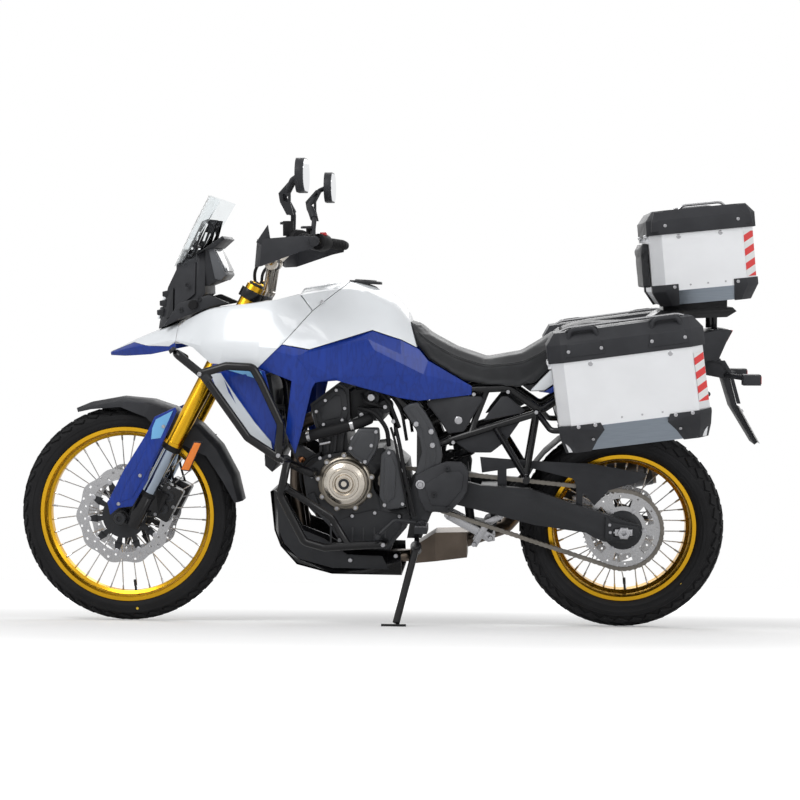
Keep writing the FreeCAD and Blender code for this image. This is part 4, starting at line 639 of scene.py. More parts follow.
def screws(name, points, radius, body="chassis", axis=(0, -1, 0), material=None, slot="steel", height=None,
        head=screw, both=False):
    """A set of screw heads on points, by choice on both sides of the machine."""
    spots = []
    for point in points:
        spots.append((Vector(point), Vector(axis), Vector((1, 0, 0.3)), 1.0))
        if both:
            spots.append((Vector((point[0], -point[1], point[2])), Vector((axis[0], -axis[1], axis[2])),
                Vector((1, 0, 0.3)), 1.0))
    return repeated(name, head(radius, height or radius * 0.8), spots, body, material or ZINC, slot)


# Wheels, brakes and chain

def tyre(label, centre, radius, width, crown, rim_radius, rim_width, body, marks):
    """A carcass with a rounded crown, tread blocks standing on it, and paint dots."""
    depth = 6.5
    middle = radius - crown
    squeeze = 1 - (width / 2) / (crown * math.sin(math.radians(84)))

    def crown_point(degrees, sunk):
        angle = math.radians(degrees)
        reach = (crown - sunk) * math.sin(angle) * (1 - squeeze * (degrees / 84) ** 4)
        return reach, middle + (crown - sunk) * math.cos(angle)

    right = [crown_point(degrees, depth) for degrees in range(2, 64, 5)]
    right += [crown_point(degrees, 0.6) for degrees in (66, 72, 78, 84)]
    right += [(width * 0.492, rim_radius + 34), (width * 0.497, rim_radius + 31),
        (width * 0.487, rim_radius + 28), (width * 0.47, rim_radius + 17),
        (width * 0.475, rim_radius + 14), (width * 0.455, rim_radius + 9),
        (rim_width / 2 + 1, rim_radius + 1), (rim_width / 2 - 6, rim_radius - 1)]
    piece(label, turned(both_sides(right), centre, steps=160), body, TYRE, "tyre", (label,), 40)
    girth = 2 * math.pi * radius
    count = int(girth / 50)
    rows = ((0, 0, 0), (22, 0.5, 14), (-22, 0.5, -14), (46, 0.0, 24), (-46, 0.0, -24))
    for row, (degrees, offset, slant) in enumerate(rows):
        reach = crown * math.radians(20)
        block_width = reach * (0.62 if row < 3 else 0.78)
        length = girth / count * (0.86 if row < 3 else 0.76)
        half_l, half_w = length / 2, block_width / 2
        top = depth - 1.3
        unit = new_shape([(-half_l, -half_w, 0), (half_l - 5, -half_w, 0), (half_l, half_w, 0),
            (-half_l + 5, half_w, 0), (-half_l + 1.5, -half_w + 1.2, top),
            (half_l - 6.5, -half_w + 1.2, top), (half_l - 1.5, half_w - 1.2, top),
            (-half_l + 6.5, half_w - 1.2, top)], [(3, 2, 1, 0), (4, 5, 6, 7), (0, 1, 5, 4), (1, 2, 6, 5),
            (2, 3, 7, 6), (3, 0, 4, 7)])
        spots = []
        for index in range(count):
            round_angle = 2 * math.pi * (index + offset) / count
            across, height = crown_point(abs(degrees), depth + 0.3)
            across = math.copysign(across, degrees) if degrees else 0.0
            tilt = math.radians(degrees)
            out = outward(round_angle)
            along = Vector((-math.sin(round_angle), 0, math.cos(round_angle)))
            normal = out * math.cos(tilt) + Vector((0, 1, 0)) * math.sin(tilt)
            lean = math.radians(slant)
            sideways = normal.cross(along)
            along = along * math.cos(lean) + sideways * math.sin(lean)
            spots.append((centre + out * height + Vector((0, across, 0)), normal, along, 1.0))
        repeated(f"{label}_tread_{row + 1}", unit, spots, body, TYRE, "tyre", smooth=20)
    dots = []
    for degrees in marks:
        angle = math.radians(degrees)
        out = outward(angle)
        dots.append((centre + out * (rim_radius + 22.5) + Vector((0, -width * 0.485, 0)),
            Vector((0, -1, 0)), out, 1.0))
    repeated(label + "_dot", knob((0, 0, 0), (0, 0, 1), ((0.9, 4.2), (1.1, 3.6)), 14), dots, body, YELLOW,
        "tyre")


def wire_wheel(label, centre, rim_radius, rim_width, hub_width, flange, body):
    """A polished hoop, thirty-six crossed spokes with nipples, and a spool hub."""
    half = rim_width / 2
    bed = rim_radius - 15
    well = bed - 10.5
    over = [(half, rim_radius - 1.5), (half - 1.5, rim_radius), (half - 3, rim_radius),
        (half - 5, bed + 1), (half * 0.42, bed - 1), (half * 0.3, well)]
    under = [(-half, bed + 2), (-half * 0.86, bed - 3), (-half * 0.5, bed - 6), (-half * 0.34, well - 4.5)]
    piece(label, turned(both_sides(over) + both_sides(under), centre, steps=128), body, GOLD, "gold_rim",
        (label,), 34)
    side = hub_width / 2
    hub = both_sides([(-side, 17), (-side, flange), (-side + 5, flange), (-side + 9, flange - 6),
        (-side + 15, 33), (-side + 24, 30)])
    piece(label + "_hub", turned(hub, centre, steps=48), body, SATIN_BLACK, "gold_rim", smooth=34)
    inner = flange - 5
    outer = well - 4.5
    spots = []
    ends = []
    for index in range(SPOKES):
        hand = 1 if index % 2 else -1
        sweep = math.radians(22 if index % 4 < 2 else -22)
        rim_angle = 2 * math.pi * (index + 0.5) / SPOKES
        hub_angle = rim_angle + sweep
        start = centre + Vector((inner * math.cos(hub_angle), hand * (side - 3),
            inner * math.sin(hub_angle)))
        end = centre + Vector((outer * math.cos(rim_angle), hand * 4, outer * math.sin(rim_angle)))
        run = end - start
        spots.append((start, run, Vector((0, 1, 0)), 1.0))
        ends.append((end, -run, Vector((0, 1, 0)), 1.0))
    length = run.length
    wire = standing([(0, 0), (0, 2.2), (24, 1.7), (length + 1, 1.7)], 7)
    repeated(label + "_spokes", wire, spots, body, STEEL, "steel", smooth=50)
    nipple = standing([(-2, 3.4), (15, 3.0), (17, 2.2), (17, 0)], 6)
    repeated(label + "_nipples", nipple, ends, body, STEEL, "steel", smooth=30)
    angle = math.radians(-86)
    out = outward(angle)
    valve = joined(rod(centre + out * (outer + 3), centre + out * (outer - 26), 3.4),
        rod(centre + out * (outer - 14), centre + out * (outer - 34), 4.6))
    piece(label + "_valve", valve, body, SATIN_BLACK, "gold_rim")


tyre("front_tyre", FRONT_AXLE, FRONT_TYRE, 90, 48, *FRONT_RIM, "front_wheel", (-84,))
tyre("rear_tyre", REAR_AXLE, REAR_TYRE, 150, 78, *REAR_RIM, "rear_wheel", (-43,))
wire_wheel("front_rim", FRONT_AXLE, *FRONT_RIM, 96, 44, "front_wheel")
wire_wheel("rear_rim", REAR_AXLE, *REAR_RIM, 106, 60, "rear_wheel")


def brake_disc(label, centre, y_from, y_to, radius, inner, waves, body, replaced=()):
    """A lobed ring with two staggered circles of drillings."""
    steps = 240
    per_wave = steps // waves

    def edge(step):
        return radius - 4.5 + 4.5 * math.cos(2 * math.pi * step / per_wave)

    def is_open(ring, step):
        if ring == 1:
            return step % 12 in (2, 3)
        if ring == 3:
            return step % 12 in (8, 9)
        return False

    radii = (inner, inner + 8, inner + 15, inner + 22, inner + 29)
    piece(label, polar_plate(centre, y_from, y_to, radii, steps, edge, is_open), body, STEEL, "steel",
        replaced, 30)


def disc_spider(label, centre, y_from, y_to, inner, outer, arms, body, hub_face):
    """The black arms and ring that carry a disc, with their float buttons."""
    steps = 120
    per_arm = steps // arms

    def is_open(ring, step):
        return ring == 1 and per_arm * 0.3 < step % per_arm < per_arm * 0.98

    plate = polar_plate(centre, y_from, y_to, (inner, outer * 0.62), steps, lambda step: outer * 0.8,
        is_open)
    fingers = []
    buttons = []
    for index in range(arms):
        angle = 2 * math.pi * (index + 0.14) / arms
        out = outward(angle)
        aside = Vector((-math.sin(angle), 0, math.cos(angle)))
        corners = [out * outer * 0.76 - aside * 13, out * (outer + 4) - aside * 6,
            out * (outer + 4) + aside * 6, out * outer * 0.76 + aside * 13]
        fingers.append(prism([((centre + p).x, (centre + p).z) for p in corners], y_from, y_to))
        hand = -1 if (y_from + y_to) < 0 else 1
        face = min(y_from, y_to) if hand < 0 else max(y_from, y_to)
        buttons.append((centre + out * (outer + 1) + Vector((0, face, 0)), Vector((0, hand, 0)), aside,
            1.0))
    boss = turned([(hub_face, inner), (hub_face, inner + 14), ((y_from + y_to) / 2, inner + 10),
        ((y_from + y_to) / 2, inner)], centre, steps=48)
    piece(label, joined(plate, boss, *fingers), body, SATIN_BLACK, "steel", smooth=30)
    repeated(label + "_buttons", knob((0, 0, 0), (0, 0, 1), ((1.4, 8), (2.0, 7), (2.0, 3.5), (0.8, 3.5)),
        16), buttons, body, ZINC, "steel")


for hand, title in ((-1, "left"), (1, "right")):
    near, far = sorted((hand * 68, hand * 72.5))
    brake_disc(f"front_disc_{title}", FRONT_AXLE, near, far, 155, 116, 10, "front_wheel",
        ("front_discs",) if hand < 0 else ())
    disc_spider(f"front_spider_{title}", FRONT_AXLE, near + 0.4, far - 0.4, 26, 114, 10, "front_wheel",
        hand * 48.4)
brake_disc("rear_disc", REAR_AXLE, 88, 92.5, 130, 92, 8, "rear_wheel", ("rear_disc",))
disc_spider("rear_spider", REAR_AXLE, 88.4, 92.1, 26, 92, 8, "rear_wheel", 53.4)

TEETH = 48
PITCH = 15.875
LARGE = PITCH / (2 * math.sin(math.pi / TEETH))
SMALL = PITCH / (2 * math.sin(math.pi / 17))
DRIVE = Vector((75, 0, 470))


def sprocket():
    def edge(step):
        share = (step % 8) / 8
        return LARGE - 4.9 if share < 0.3 or share > 0.7 else LARGE + (3.4 if 0.4 < share < 0.6 else 0.5)

    def is_open(ring, step):
        part = step % 64
        if ring == 1:
            return 12 < part < 52
        if ring == 3:
            return part % 32 in (3, 4, 5)
        return False

    plate = polar_plate(REAR_AXLE, -101, -94.6, (56, 74, 99, 103, 109), TEETH * 8, edge, is_open)
    piece("rear_sprocket", plate, "rear_wheel", STEEL, "steel", ("rear_sprocket",), 30)
    carrier = turned([(-53.4, 20), (-53.4, 56), (-66, 66), (-94, 66), (-94, 74), (-101.5, 60), (-108, 46),
        (-108, 26), (-104, 20)], REAR_AXLE, steps=56)
    piece("sprocket_carrier", carrier, "rear_wheel", SATIN_BLACK, "steel", smooth=30)
    bolts = []
    for index in range(6):
        angle = 2 * math.pi * index / 6
        out = outward(angle)
        bolts.append((REAR_AXLE + out * 66 + Vector((0, -101, 0)), Vector((0, -1, 0)), out, 1.0))
    repeated("sprocket_nuts", hex_head(6.4, 6), bolts, "rear_wheel", ZINC, "steel")


def chain_path(y):
    """Pin places along the chain, one pitch apart, from the top run back round."""
    run = REAR_AXLE - DRIVE
    run.y = 0
    slope = math.atan2(run.z, run.x)
    spread = math.asin((LARGE - SMALL) / run.length)
    up = slope + math.pi / 2 + spread
    down = slope - math.pi / 2 - spread

    def at(centre, radius, angle):
        return Vector((centre.x + radius * math.cos(angle), y, centre.z + radius * math.sin(angle)))

    line = [at(DRIVE, SMALL, up), at(REAR_AXLE, LARGE, up)]
    line += [at(REAR_AXLE, LARGE, up + (down - up) * step / 60) for step in range(1, 61)]
    line.append(at(DRIVE, SMALL, down))
    line += [at(DRIVE, SMALL, down - (2 * math.pi + down - up) * step / 24) for step in range(1, 25)]
    total = sum((b - a).length for a, b in zip(line, line[1:]))
    count = 2 * round(total / PITCH / 2)
    pins = []
    gap = total / count
    travelled = 0.0
    due = 0.0
    for a, b in zip(line, line[1:]):
        span = (b - a).length
        while due <= travelled + span and len(pins) < count:
            pins.append(a + (b - a) * ((due - travelled) / span if span else 0))
            due += gap
        travelled += span
    return pins


def side_plate(y_from, y_to, radius, waist):
    """One figure-of-eight plate, a pitch long, from the origin along X."""
    turns = [0.36 * step / 3 for step in range(4)]
    upper = [(radius * math.cos(math.pi - math.pi * turn),
        radius * math.sin(math.pi - math.pi * turn)) for turn in turns]
    upper.append((PITCH / 2, waist))
    upper += [(PITCH + radius * math.cos(math.pi * turn),
        radius * math.sin(math.pi * turn)) for turn in reversed(turns)]
    lower = [(x, -z) for x, z in reversed(upper[1:-1])]
    return prism(upper + lower, y_from, y_to)


def chain_link(plates, radius, waist, y_from, y_to, pin):
    """Two side plates and the two pins or rollers between them."""
    rods = [rod((x, y_from, 0), (x, y_to, 0), pin, steps=8) for x in (0, PITCH)]
    return joined(*[side_plate(near, far, radius, waist) for near, far in plates], *rods)


def chain():
    pins = chain_path(0)
    outer = chain_link(((-107, -105.2), (-90.8, -89)), 7.2, 5.2, -107.6, -88.6, 2.6)
    inner = chain_link(((-104.9, -102.8), (-93.2, -91.1)), 7.4, 5.4, -102.8, -93.2, 4.4)
    for label, unit, start in (("chain_outer_links", outer, 0), ("chain_inner_links", inner, 1)):
        spots = []
        for index in range(start, len(pins), 2):
            here = pins[index]
            after = pins[(index + 1) % len(pins)]
            run = (after - here).normalized()
            spots.append((here, Vector((0, 1, 0)).cross(run) * -1, run, 1.0))
        repeated(label, unit, spots, "chassis", CHAIN_STEEL, "steel", ("chain",) if start == 0 else (), 30)


sprocket()
chain()


# Bodywork

# x, top, then half width and height of the shoulder, the crease and the low edge
STATIONS = [(-836, 868, 8, 867, 12, 863, 8, 857), (-756, 906, 40, 900, 64, 882, 52, 856),
    (-690, 934, 62, 926, 95, 893, 84, 860), (-600, 968, 90, 958, 140, 908, 130, 850),
    (-480, 1016, 150, 1006, 205, 890, 200, 780), (-330, 1046, 170, 1026, 240, 892, 232, 560),
    (-200, 1072, 150, 1050, 252, 886, 235, 560), (-60, 1090, 125, 1066, 240, 908, 222, 640),
    (60, 1052, 118, 1018, 200, 905, 190, 640), (160, 944, 95, 928, 165, 872, 160, 640),
    (330, 812, 90, 800, 152, 765, 150, 640)]


def eased(rows, x, column):
    """A smooth value between stations that doesn't overshoot them."""
    places = [row[0] for row in rows]
    values = [row[column] for row in rows]
    index = max(0, min(len(places) - 2, sum(1 for place in places if place <= x) - 1))

    def slope(at):
        if at <= 0 or at >= len(places) - 1:
            near = min(max(at, 0), len(places) - 2)
            return (values[near + 1] - values[near]) / (places[near + 1] - places[near])
        before = (values[at] - values[at - 1]) / (places[at] - places[at - 1])
        after = (values[at + 1] - values[at]) / (places[at + 1] - places[at])
        return 0.0 if before * after <= 0 else 2 * before * after / (before + after)

    span = places[index + 1] - places[index]
    t = (x - places[index]) / span
    a, b = values[index], values[index + 1]
    first, last = slope(index) * span, slope(index + 1) * span
    return ((2 * t ** 3 - 3 * t ** 2 + 1) * a + (t ** 3 - 2 * t ** 2 + t) * first
        + (3 * t ** 2 - 2 * t ** 3) * b + (t ** 3 - t ** 2) * last)


def half_section(x, inset=0.0):
    """The right half of the body's outline at a station, from the top to the low edge."""
    top, sy, sz, cy, cz, ly, lz = [eased(STATIONS, x, column) for column in range(1, 8)]
    sy, cy, ly = (max(value - inset, 0.8) for value in (sy, cy, ly))
    top, sz = top - inset, sz - inset * 0.8
    outline = []
    for step in range(6):
        t = step / 6
        bulge = (top - sz) * (1 - t * t)
        outline.append((sy * t, sz + bulge))
    middle = (sy + (cy - sy) * 0.52, sz + (cz - sz) * 0.38)
    for step in range(7):
        t = step / 6
        y = sy * (1 - t) ** 2 + middle[0] * 2 * t * (1 - t) + cy * t * t
        z = sz * (1 - t) ** 2 + middle[1] * 2 * t * (1 - t) + cz * t * t
        outline.append((y, z))
    for step in (1, 2, 3):
        t = step / 3
        outline.append((cy + (ly - cy) * t, cz + (lz - cz) * t))
    return outline


def body_form(x_from, x_to, step, inset=None):
    """The body between two stations, solid, or a shell with a wall where inset is given."""
    count = max(2, int((x_to - x_from) / step))
    sections = []
    for index in range(count + 1):
        x = x_from + (x_to - x_from) * index / count
        right = half_section(x)
        outline = [(x, -y, z) for y, z in reversed(right)] + [(x, y, z) for y, z in right[1:]]
        if inset:
            inner = half_section(x, inset)
            outline += [(x, y, z - 2) for y, z in reversed(inner)]
            outline += [(x, -y, z - 2) for y, z in inner[1:]]
        sections.append(outline)
    return loft(sections)


def panel_from(name, form, outline, material, node, soft, cutters=()):
    """The part of a body form inside an outline, less its cutters; it may take its node's place."""
    obj = raw_object(name, form)
    cut(obj, prism(outline, -400, 400))
    for shape in cutters:
        cut(obj, shape, "DIFFERENCE")
    soften(obj, soft, 2, 30)
    return settle(obj, BODY_OF[node], material, SLOTS[node], (name,) if name == node else (), 24)


def bodywork():
    upper_beak = [(-860, 858), (-860, 920), (-600.6, 990), (-600.6, 905), (-625, 889), (-697, 889),
        (-752, 899), (-836, 867)]
    panel_from("beak", body_form(-836, -560, 9, 5), upper_beak, WHITE, "beak", 1.6)
    lower_beak = [(-838, 850), (-836, 866), (-752, 898), (-697, 888), (-625, 888), (-612, 897),
        (-603, 900), (-603, 880), (-690, 862)]
    panel_from("beak_tip", body_form(-836, -560, 9, 5), lower_beak, BLUE, "side_panels", 1.4)
    nose = [(-599, 905), (-599, 990), (-448, 1015), (-384, 1029), (-287, 1033), (-213, 1052),
        (-169.2, 1001), (-255.4, 900), (-329.6, 829), (-334, 829.6), (-481, 840.6), (-540, 887.5)]
    room = block(-620, -100, -100, 100, 700, 1200)
    hollow = rod(STEER_FOOT + FORK_UP * 200, STEER_FOOT + FORK_UP * 870, 158, steps=48)
    panel_from("nose_panels", body_form(-610, -150, 10, 5), nose, WHITE, "nose_panels", 1.8,
        (room, hollow))
    lid_line = [(-166.8, 1003), (-208, 1052), (-206, 1120), (-60, 1120), (-72.6, 1080.4)]
    panel_from("tank_cover", body_form(-230, -40, 9, 6), lid_line, WHITE, "fuel_tank", 1.6)
    tank = [(-165.6, 1000.4), (-70.2, 1079.6), (-56, 1120), (100, 1120), (118, 990), (149.6, 889),
        (104, 913), (17, 943), (-169, 886.4), (-252.4, 901)]
    panel_from("fuel_tank", body_form(-300, 190, 9), tank, WHITE, "fuel_tank", 1.8)
    cap = joined(knob((-20, 0, 1082), (0.06, 0, 1), ((6, 52), (9, 50), (9, 40), (7, 38), (12, 34),
        (13, 30))))
    fitted("fuel_cap", cap, SATIN_BLACK, "fuel_tank", smooth=30, bevel=0.6)
    screws("tank_cover_bolt", [(-140, -172, 1027.5)], 6, axis=(0, -0.75, 0.66), both=True, height=3)


def faceted(node, points, faces, wall=4.0):
    """A folded panel on the right drawn from named corners, thickened inwards, with its mirror."""
    names = list(points)
    shape = new_shape([(points[key][0], -points[key][2], points[key][1]) for key in names],
        [tuple(names.index(key) for key in face.split()) for face in faces])
    for face in shape.faces:
        if face.normal.y > 0:
            face.normal_flip()
    bmesh.ops.triangulate(shape, faces=[face for face in shape.faces if len(face.verts) > 4])
    bmesh.ops.solidify(shape, geom=shape.faces[:], thickness=wall)
    bmesh.ops.recalc_face_normals(shape, faces=shape.faces)
    obj = raw_object(node, mirrored_pair(shape))
    soften(obj, 1.8, 2, 8)
    return settle(obj, BODY_OF[node], BLUE, SLOTS[node], (node,), 9)


def side_panels():
    points = {"a": (-327, 829, 236), "b": (-253, 898.5, 242), "c": (-169, 883.5, 248),
        "d": (17, 940.5, 192), "e": (104, 911, 170), "f": (158, 883, 161), "g": (186, 848, 160),
        "h": (320, 769, 152), "i": (318, 742, 150), "j": (155, 724, 168), "k": (93, 735, 180),
        "l": (-89, 789, 226), "m": (-153, 784, 230), "n": (-164, 767, 231), "o": (-199, 624, 232),
        "p": (-217, 565, 232), "q": (-246, 632, 234), "r": (-226, 789, 244), "s": (-307, 820, 234),
        "C0": (-274, 880, 249), "C1": (-212, 865, 253), "C2": (6, 916, 224), "C3": (105, 866, 184),
        "R0": (25, 883, 222), "R1": (-91, 799, 238), "A1": (-206, 776, 250), "A2": (-214, 628, 240),
        "R2": (172, 806, 176)}
    faces = ("a b C0", "b c C1 C0", "c d C2 C1", "d e C3 C2", "e f g C3", "a C0 s", "C0 C1 A1 r s",
        "r A1 A2 q", "q A2 p", "A1 n o A2", "A2 o p", "C1 R1 m n A1", "C1 C2 R0 R1", "R1 l m", "C2 C3 R0",
        "R0 C3 g R2", "g h R2", "h i R2", "i j R2", "j k R2", "k l R1 R2", "R1 R0 R2")
    faceted("side_panels", points, faces)


def wing_panels():
    points = {"a": (-486, 806, 205), "b": (-474, 839, 208), "c": (-334.5, 828, 236),
        "d": (-307.4, 819, 240), "e": (-268, 655, 238), "f": (-275, 637, 237), "g": (-282, 561, 234),
        "h": (-312, 574, 230), "i": (-343, 596, 224), "j": (-366, 605, 220), "k": (-441, 722, 212),
        "m": (-330, 690, 243), "n": (-400, 790, 236)}
    faces = ("a b n", "b c n", "c d m n", "d e m", "e f m", "f g h m", "h i m", "i j m", "j k n m",
        "k a n")
    faceted("wing_panels", points, faces)


def overlay(name, outline, material, slot="blue_gloss", lift=0.7, body="chassis", depth=0.9):
    """A thin graphic band a little proud of a panel; corners are (x, z, half width)."""
    count = len(outline)
    points = [(x, -y - lift, z) for x, z, y in outline] + [(x, -y - lift + depth, z) for x, z,
        y in outline]
    faces = [tuple(range(count)), tuple(range(2 * count - 1, count - 1, -1))]
    faces += [(i, i + count, (i + 1) % count + count, (i + 1) % count) for i in range(count)]
    return piece(name, mirrored_pair(new_shape(points, faces)), body, material, slot, smooth=20)


bodywork()
side_panels()
wing_panels()
overlay("wing_band_low", [(-480, 808, 209), (-446, 812, 219), (-400, 745, 231), (-340, 664, 243),
    (-290, 604, 240), (-284, 566, 236), (-340, 600, 228), (-364, 608, 224), (-440, 722, 215)], BAND_WHITE,
    lift=2.6, depth=8)
overlay("wing_band_high", [(-440, 826, 224), (-338, 823, 238), (-318, 818, 240), (-312, 790, 241)],
    LIGHT_BLUE, lift=2.2, depth=6)


def plate_pair(name, outline, y_near, y_far, material, node, bevel=2.0, both=True):
    """A flat plate between two distances left of the middle, by choice with its mirror."""
    shape = prism(outline, -y_near, -y_far)
    return fitted(name, mirrored_pair(shape) if both else shape, material, node, bevel=bevel, smooth=30)


# CAD nodes that keep their shape, with softened edges

DRESSED = {"triple_clamps": 1.5, "fork_lowers": 1.2, "front_calipers": 2.0, "main_frame": 1.2,
    "swingarm": 3.0, "rear_axle": 0.8, "plate_holder": 2.5, "footpegs": 1.5, "stand_bracket": 1.2,
    "side_stand": 1.5, "skid_plate": 3.0, "tail_cowl": 5.0, "rear_rack": 2.5, "hand_guards": 1.6,
    "front_fender": 2.0, "engine": 3.0, "radiator": 1.2, "crash_bars": 0, "subframe": 0, "pannier_rack": 0,
    "fork_tubes": 0.8, "handlebar": 0, "hand_controls": 0.8, "mirrors": 1.5, "shock": 1.0, "exhaust": 0,
    "hugger": 1.2, "fork_guards": 1.6, "number_plate": 1.0, "tail_lamp": 2.0, "headlamp_cowl": 3.0,
    "dash": 2.0}

for name, width in DRESSED.items():
    dressed(name, bevel=width)


# Seats and backrest: remeshed, filled with air in a cloth run, then capped

def padded_seat(node, voxel, cap, draw_in, ends=()):
    """A cushion swollen from its solid; its underside and the ends named stay where they are."""
    obj = raw_object(node + "_pad", node_shape(node))
    obj.data.transform(Matrix.Scale(0.001, 4))
    mesh_step = obj.modifiers.new("even_mesh", "REMESH")
    mesh_step.mode = "VOXEL"
    mesh_step.voxel_size = voxel / 1000
    ease = obj.modifiers.new("ease", "SMOOTH")
    ease.factor = 0.6
    ease.iterations = 7
    slim = obj.modifiers.new("slim", "DISPLACE")
    slim.strength = -draw_in / 1000
    slim.mid_level = 0.0
    apply_modifiers(obj)
    rest = [vert.co.copy() for vert in obj.data.vertices]
    held = obj.vertex_groups.new(name="held")
    for vert in obj.data.vertices:
        near_end = any(abs(vert.co.x * 1000 - place) < reach for place, reach in ends)
        if vert.normal.z < -0.15 or near_end:
            held.add([vert.index], 1.0, "REPLACE")
    cloth = obj.modifiers.new("fill", "CLOTH")
    cloth.settings.quality = 5
    cloth.settings.use_pressure = True
    cloth.settings.uniform_pressure_force = 4
    cloth.settings.vertex_group_mass = "held"
    cloth.settings.effector_weights.gravity = 0
    for step in range(1, 21):
        scene.frame_set(step)
    apply_modifiers(obj)
    for vert, start in zip(obj.data.vertices, rest):
        moved = vert.co - start
        if moved.length > cap / 1000:
            vert.co = start + moved.normalized() * cap / 1000
    scene.frame_set(1)
    finer = obj.modifiers.new("finer", "SUBSURF")
    finer.levels = 1
    apply_modifiers(obj)
    obj.vertex_groups.clear()
    obj.data.transform(Matrix.Scale(1000, 4))
    settle(obj, BODY_OF[node], SEAT, SLOTS[node], (node,), 60)
    return obj


padded_seat("rider_seat", 6, 4, 1.5, ((100, 40), (588, 12)))
padded_seat("pillion_seat", 6, 5, 1.5, ((593, 12),))
padded_seat("backrest_pad", 5, 6, 1.5)


# Cases

def tilted(front, degrees):
    angle = math.radians(degrees)

    def at(x, y, z):
        return Vector((front[0] + x * math.cos(angle) - z * math.sin(angle), y,
            front[1] + x * math.sin(angle) + z * math.cos(angle)))
    return at


side_at = tilted((590, 594), 7.5)
top_at = tilted((872, 1014), 5.3)


def sheet_piece(name, rows, wall, material, slot, soft):
    """A grid of points thickened inwards by a wall."""
    obj = raw_object(name, loft(rows, closed=False))
    thick = obj.modifiers.new("wall", "SOLIDIFY")
    thick.thickness = wall
    thick.offset = -1
    apply_modifiers(obj)
    if soft:
        soften(obj, soft)
    return settle(obj, "chassis", material, slot, smooth=30)


STRIPE_FACES = [(0, 1, 2, 3), (7, 6, 5, 4), (0, 4, 5, 1), (1, 5, 6, 2), (2, 6, 7, 3), (3, 7, 4, 0)]


def case_side(label, title, at, sign, node, lid, length, slope, guards, bolts, rivets, seam, stripe):
    """One long side: sloped sheet, corner guards with bolts, rivets, seam screws and stripes."""
    out = (0, sign, 0)
    rows = [[at(*corner) for corner in row][::-sign] for row in slope]
    sheet_piece(f"{label}_slope_{title}", rows, 1.2, SLOPE_METAL, SLOTS[node], 0)
    for end in ("front", "rear"):
        def guard(x, across, z):
            return at(length - x if end == "rear" else x, across, z)
        order = -sign if end == "front" else sign
        rows = [[guard(*corner) for corner in row][::order] for row in guards]
        sheet_piece(f"{label}_guard_{title}_{end}", rows, 3.0, BLACK_PLASTIC, SLOTS[lid], 0.9)
        for bolt, places, radius, axis in bolts:
            screws(f"{label}_guard_{bolt}_{title}_{end}", [guard(*place) for place in places], radius,
                   axis=axis, height=2.5)
    for part, (places, across, z), radius, height in (("rivets", rivets, 3, 1.5),
            ("seam_screws", seam, 7, 2.5)):
        screws(f"{label}_{part}_{title}", [at(x, across, z) for x in places], radius, axis=out,
            height=height)
    near, far, low, high = stripe
    corners = [at(*near, low), at(*far, low), at(*far, high), at(*near, high)]
    lift = Vector((math.cos(math.radians(45)), sign * math.sin(math.radians(45)), 0))
    piece(f"{label}_stripes_{title}", new_shape([corner + lift for corner in corners] + corners,
        STRIPE_FACES),
          "chassis", HAZARD, SLOTS[node], smooth=20)


SIDE_SLOPE = [[(-0.9, 218, 72), (34, 253.5, 72), (400, 253.5, 72), (435, 218, 72)],
              [(17, 180, 0), (44, 207.5, 0), (390, 207.5, 0), (417, 180, 0)]]
SIDE_GUARDS = [[(-4, 140, 80), (-4, 219.5, 80), (32.5, 256, 80), (118, 256, 80)],
               [(-4, 140, 70), (-4, 219.5, 70), (32.5, 256, 70), (127, 256, 58)],
               [(1, 136, 34), (1, 206, 34), (35, 239, 34), (104, 235.5, 30)],
               [(11, 132, -3), (11, 185, -3), (40, 214, -3), (84, 212, -3)]]
TOP_SLOPE = [[(-1, 178, 42), (34, 213.2, 42), (274, 213.2, 42), (309, 178, 42)],
             [(23, 160, 0), (56, 189, 0), (252, 189, 0), (285, 160, 0)]]
TOP_GUARDS = [[(-4, 140, 62), (-4, 180, 62), (32.5, 216, 62), (72, 216, 62)],
              [(-4, 140, 41), (-4, 180, 41), (32.5, 216, 41), (72, 216, 41)],
              [(19, 132, -3), (19, 160, -3), (52, 193, -3), (72, 193, -3)]]


def stepped(at, sections):
    """A skin through sections given as (x from, x to, outer, inner, z)."""
    return loft([[at(x0, out, z), at(x1, out, z), at(x1, back, z), at(x0, back, z)]
                 for x0, x1, out, back, z in sections])


